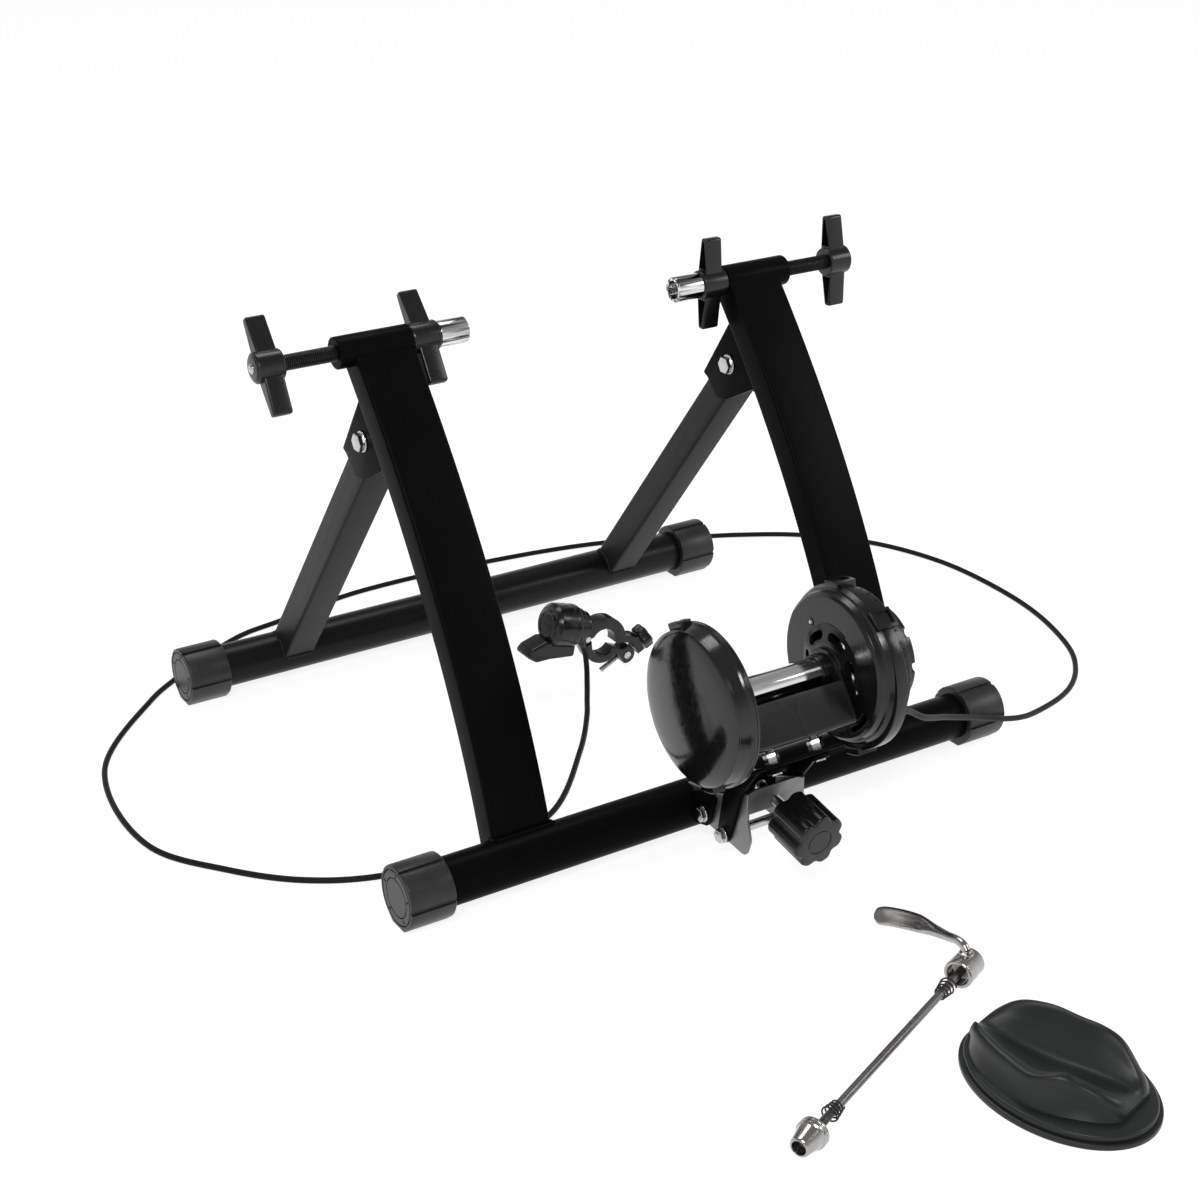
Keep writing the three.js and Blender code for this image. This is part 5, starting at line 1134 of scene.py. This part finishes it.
finished(shifter_jaw(), "clamp_jaw", "jaw", "housing_plastic", "shifter_jaw", sharp=32)
hinge = shape(turned, [
    (0, -11.5), (2.6, -11.4, 0.4), (3, -10.9, 0.4), (3, 10.9, 0.4), (2.6, 11.4, 0.4), (0, 11.5),
], HINGE_PLACE, 28)
finished(hinge, "hinge_pin", "stand", "bolt_steel", "jaw_hinge_pin")
for name, way in (("front", -1), ("rear", 1)):
    pin = shape(turned, [
        (0, 3.4), (3.5, 3.4), (3.5, 8.3, 0.4), (2.9, 8.7, 0.3), (2.2, 8.3, 0.3), (0, 8.1),
    ], CROSS_PLACE @ turn_z(way * 90), 32)
    finished(pin, f"cross_pin_end_{name}", "jaw", "bolt_steel", f"cross_pin_{name}")
thumb_screw = shape(rod, 2.05, -27.1, 23.9, ALONG_THUMB, 24, 0.3)
thread(thumb_screw, 2.5, 2.0, 0.8, -26.6, 10, ALONG_THUMB, 20)
finished(thumb_screw, "thumb_thread", "thumb", "bolt_steel", "thumb_screw", sharp=50)
thumb = shape(prism, lobed(11.5, 6, 1.4, 90), 18.9, 27.9, ALONG_THUMB, edge=1.6, steps=4)
dish = shape(turned, [(0, 27.3), (6.2, 27.3), (6.8, 29), (0, 29)], ALONG_THUMB, 40)
finished(cut(thumb, shape(rod, 2.75, 10, 24.2, ALONG_THUMB, 24), dish), "thumb_grip", "thumb",
         "handle_plastic", "thumb_knob", sharp=32)

# Skewer

SKEWER_R = 10.7
SKEWER_LENGTH = 244.5
NUT_LENGTH = 20.9
SKEWER = move(32.6, -267.7, SKEWER_R) @ turn_z(203.5)
PIN = move(9.5, 0, 0) @ UP
NUT_FROM = SKEWER_LENGTH - NUT_LENGTH
head = shape(turned, [
    (0, 0), (9.5, 0, 1.2), (SKEWER_R, 1.4, 0.6), (SKEWER_R, 21.6, 0.6), (10, 22.4, 0.5),
    (8.3, 22.4, 0.4), (7.6, 13.4, 0.6), (0, 13.4),
], SKEWER, 72)
socket = shape(rod, 3.9, SKEWER_R - 5.3, 20, SKEWER @ PIN)
head = cut(head, socket, shape(rod, 3.25, 12.2, 30, SKEWER))
finished(head, "cam_head", "skewer", "skewer_steel", "skewer_head", sharp=35)
ROD_R = 2.95
ROD_FROM, ROD_TO = 12.5, SKEWER_LENGTH - 9
THREAD_FROM = ROD_TO - 37.5
stem = shape(rod, 2.45, ROD_FROM, ROD_TO, SKEWER, 28)
turned(stem, [(2.3, ROD_FROM), (ROD_R, ROD_FROM), (ROD_R, THREAD_FROM - 0.5, 0.4),
              (2.3, THREAD_FROM)], SKEWER, 32, True)
thread(stem, ROD_R, 2.4, 0.8, THREAD_FROM, ROD_TO - 1, SKEWER, 20)
finished(stem, "skewer_stem", "skewer", "rod_steel", "skewer_rod", sharp=50)


def skewer_nut():
    place = SKEWER @ move(NUT_FROM, 0, 0)
    body = shape(turned, [
        (3.25, 0), (9.7, 0, 0.6), (SKEWER_R, 1, 0.5), (SKEWER_R, 2.6, 0.3), (10.2, 3, 0.2),
        (10.2, 3.8, 0.2), (SKEWER_R, 4.2, 0.3), (SKEWER_R, 6, 0.5), (9.7, 7, 0.6), (9.4, 7.6, 0.4),
        (6.9, NUT_LENGTH - 1, 0.6), (5.9, NUT_LENGTH, 0.4), (5.1, NUT_LENGTH, 0.4), (4.1, 12.9),
        (3.25, 12.9),
    ], place, 72, True)
    notches = bmesh.new()
    for k in range(12):
        box(notches, (-0.5, 8.6, -0.9), (1.1, 12, 0.9), place @ turn_x(30 * k))
    return cut(body, notches)


finished(skewer_nut(), "skewer_end_nut", "nut", "skewer_steel", "skewer_nut", sharp=32)


def cam_lever():
    """Blade lofted along a bent line: round at the pin, then flat and dished, facing one way."""
    reach, rise, root = 86, 26.8, 3.3
    half_wide, half_thick, dishing = 7, 2.1, 0.6
    face = Vector((0.783, -0.394, 0.481)).normalized()
    # Shares of reach back and aside, of rise, and how flat the blade is there
    shares = [
        (0, -0.003, 0.87, 0), (-0.015, -0.037, 0.975, 0), (-0.043, -0.1, 1, 0),
        (-0.09, -0.215, 0.914, 0.05), (-0.15, -0.36, 0.82, 0.3), (-0.232, -0.547, 0.672, 0.9),
        (-0.29, -0.73, 0.5, 1), (-0.318, -0.9, 0.345, 1), (-0.3, -0.985, 0.27, 0.7),
    ]
    knots = [Vector((9.5 + a * reach, b * reach, h * rise - SKEWER_R)) for a, b, h, _ in shares]
    flats = [Vector((f, 0, 0)) for *_, f in shares]
    rings = []
    count, sides, tip = 44, 28, 0.94
    for k in range(count + 1):
        share = k / count
        centre = catmull(knots, share)
        before, after = max(0, share - 0.01), min(1, share + 0.01)
        along = (catmull(knots, after) - catmull(knots, before)).normalized()
        flat = min(1, max(0, catmull(flats, share).x))
        through = (face - along * face.dot(along)).normalized()
        across = along.cross(through)
        end = 1 if share < tip else math.sqrt(max(0.12, 1 - ((share - tip) / 0.062) ** 2))
        wide = (root + (half_wide - root) * flat) * end
        thick = (root + (half_thick - root) * flat) * (0.5 + 0.5 * end)
        ring = []
        for a in whole_turn(sides):
            dish = 1 - dishing * flat * (1 - math.cos(a) ** 2) ** 1.5
            ring.append(centre + across * (wide * math.cos(a))
                        + through * (thick * math.sin(a) * dish))
        rings.append(ring)
    foot = 0.87 * rise - SKEWER_R
    pin = shape(turned, [(0, 5.7), (3.6, 5.7, 0.3), (3.6, foot - 1, 1), (3.2, foot + 1.2, 0.6),
                         (0, foot + 1.2)], PIN, 32)
    collar = shape(turned, [(3.2, 10.2), (5.2, 10.2, 0.5), (5.2, 11.8, 0.8), (3.2, 12.4)],
                   PIN, 32, True)
    return join(shape(loft, rings), pin, collar)


finished(cam_lever(), "cam_lever_blade", "cam_lever", "skewer_steel", "skewer_lever",
         at=SKEWER, sharp=45)


def spring():
    wide, narrow, length, curls, wire = 5.9, 3.95, 13.7, 4, 0.6
    shares = [k / (curls * 36) for k in range(curls * 36 + 1)]
    path = [(share * length, *polar(wide + (narrow - wide) * share, share * curls * 2 * math.pi))
            for share in shares]
    return shape(sweep, path, wire, 10)


for name, where in (("head", move(36.4, 0, 0)), ("nut", move(NUT_FROM - 17, 0, 0) @ MIRROR)):
    finished(spring(), f"coil_by_{name}", "skewer", "rod_steel", f"{name}_spring",
             at=SKEWER @ where, look="thread_steel")

# Riser block

RISER = move(-3.2, -394.5, 0)
OVAL_LONG, OVAL_WIDE, OVAL_HIGH = 73.0, 53.7, 4.5
OVAL_PLACE = turn_z(-84.7)
# Share of the saddle's half length, then place and height of front ridge, channel and rear ridge
RISER_SHARES = [
    (-0.97, -0.2, 0.5, -0.05, 0.48, 0.1, 0.46), (-0.9, -0.3, 0.74, -0.1, 0.62, 0.34, 0.62),
    (-0.7, -0.5, 0.76, -0.08, 0.6, 0.5, 0.86), (-0.35, -0.7, 0.73, -0.04, 0.52, 0.56, 1),
    (-0.02, -0.84, 0.75, 0, 0.48, 0.56, 1), (0.25, -0.72, 0.85, 0.04, 0.48, 0.56, 1),
    (0.45, -0.6, 0.74, 0.07, 0.48, 0.54, 0.92), (0.66, -0.5, 0.62, 0.1, 0.46, 0.42, 0.7),
    (0.79, -0.4, 0.5, 0.1, 0.42, 0.34, 0.5), (0.86, -0.3, 0.34, 0.05, 0.32, 0.26, 0.34),
]


def riser_section(shares):
    half_length, half_width, height, draft = 64, 44, 40, 4
    along, *rest = shares
    front, channel, rear = (share * half_width for share in rest[::2])
    front_high, channel_high, rear_high = rest[1::2]
    half = half_width * math.sqrt(1 - along ** 2)
    knots = [
        (-half, OVAL_HIGH / height), (max(-half + draft, front - draft), front_high * 0.6),
        (front - draft / 2, front_high * 0.94), (front + draft / 2, front_high),
        ((front + channel) / 2, (front_high + channel_high) / 2), (channel, channel_high),
        ((rear + channel) / 2, (rear_high + channel_high) / 2), (rear - draft / 2, rear_high),
        (rear + draft / 2, rear_high * 0.96),
        (min(half - draft, rear + 2 * draft), rear_high * 0.6), (half, OVAL_HIGH / height),
    ]
    return [Vector((along * half_length, a, h * height)) for a, h in knots]


def riser_saddle():
    knots = [riser_section(s) for s in RISER_SHARES]
    stations, points_across = 56, 64
    rings = []
    for k in range(stations + 1):
        section = [catmull([row[m] for row in knots], k / stations) for m in range(len(knots[0]))]
        line = [catmull(section, m / points_across) for m in range(points_across + 1)]
        line = [Vector((p.x, p.y, max(p.z, OVAL_HIGH))) for p in line]
        line += [Vector((line[0].x, line[-1].y, 0.5)), Vector((line[0].x, line[0].y, 0.5))]
        rings.append(line)
    return shape(loft, rings, turn_z(-72))


def oval(inset):
    return [((OVAL_LONG - inset) * math.cos(a), (OVAL_WIDE - inset) * math.sin(a))
            for a in whole_turn(120)]


def riser_oval(inset, start, end, edge):
    return shape(prism, oval(inset), start, end, OVAL_PLACE @ PLAN, edge, 4)


riser = join(riser_saddle(), riser_oval(0, 0, OVAL_HIGH, 1.2), riser_oval(3, 3, 9, 1.6))
groove = [[(*p, z) for p in oval(inset)]
          for inset, z in ((3.2, 4.15), (-1, 4.15), (-1, 4.9), (3.2, 4.9))]
riser = cut(riser, shape(loft, groove, OVAL_PLACE, True))
finished(riser, "riser_saddle", "riser", "riser_plastic", "riser_block", at=RISER, sharp=45)

# Floor, world and lamps: the floor is grey to the lamps, white to the camera and in reflections

WHITE = (1, 1, 1, 1)
FLOOR_HALF, FLOOR_Z = 9, -0.0003
floor_mesh = bpy.data.meshes.new("floor")
floor_mesh.from_pydata([(x * FLOOR_HALF, y * FLOOR_HALF, FLOOR_Z)
                        for x, y in ((-1, -1), (1, -1), (1, 1), (-1, 1))], [], [(0, 1, 2, 3)])
floor = bpy.data.objects.new("floor", floor_mesh)
scene.collection.objects.link(floor)
ground = bpy.data.materials.new("floor")
ground.use_nodes = True
tree = ground.node_tree
rays = tree.nodes.new("ShaderNodeLightPath").outputs
seen = new_node(tree, "Math", {0: rays["Is Camera Ray"], 1: rays["Is Glossy Ray"]})
seen.operation = "MAXIMUM"
glow = new_node(tree, "Math", {0: seen.outputs["Value"], 1: 0.84})
glow.operation = "MULTIPLY"
fill(tree, tree.nodes["Principled BSDF"], {
    "Roughness": 0.9, "Base Color": (0.35, 0.35, 0.35, 1), "Specular IOR Level": 0.0,
    "Emission Color": WHITE, "Emission Strength": glow.outputs["Value"],
})
floor_mesh.materials.append(ground)

world = bpy.data.worlds.new("studio")
scene.world = world
world.use_nodes = True
tree = world.node_tree
rays = tree.nodes.new("ShaderNodeLightPath").outputs
upward = tree.nodes.new("ShaderNodeTexCoord").outputs["Generated"]
upward = new_node(tree, "SeparateXYZ", {"Vector": upward}).outputs["Z"]
fade = new_node(tree, "MapRange", {
    "Value": upward, "From Min": 0.05, "From Max": 0.55, "To Min": 1.0, "To Max": 0.3})
fade.interpolation_type = "SMOOTHSTEP"
level = mixer(tree, "FLOAT", {
    "Factor": rays["Is Camera Ray"], "A": fade.outputs["Result"], "B": 1.0})
fill(tree, tree.nodes["Background"], {"Strength": level, "Color": WHITE})


def lamp(name, place, target, size, power):
    data = bpy.data.lights.new(name, "AREA")
    data.shape = "RECTANGLE"
    data.size, data.size_y = size
    data.energy = power
    made = bpy.data.objects.new(name, data)
    scene.collection.objects.link(made)
    made.location = place
    made.rotation_euler = (Vector(target) - Vector(place)).to_track_quat("-Z", "Y").to_euler()


lamp("key", (-1.3, -1.5, 1.9), (0, 0.1, 0.15), (0.9, 0.5), 26)
lamp("fill", (1.8, -1.2, 1.5), (0, 0.1, 0.15), (0.9, 0.7), 12)
lamp("top", (0.1, 0.9, 2.2), (0, 0.1, 0.1), (1.4, 0.8), 16)

scene.view_settings.view_transform = "Standard"
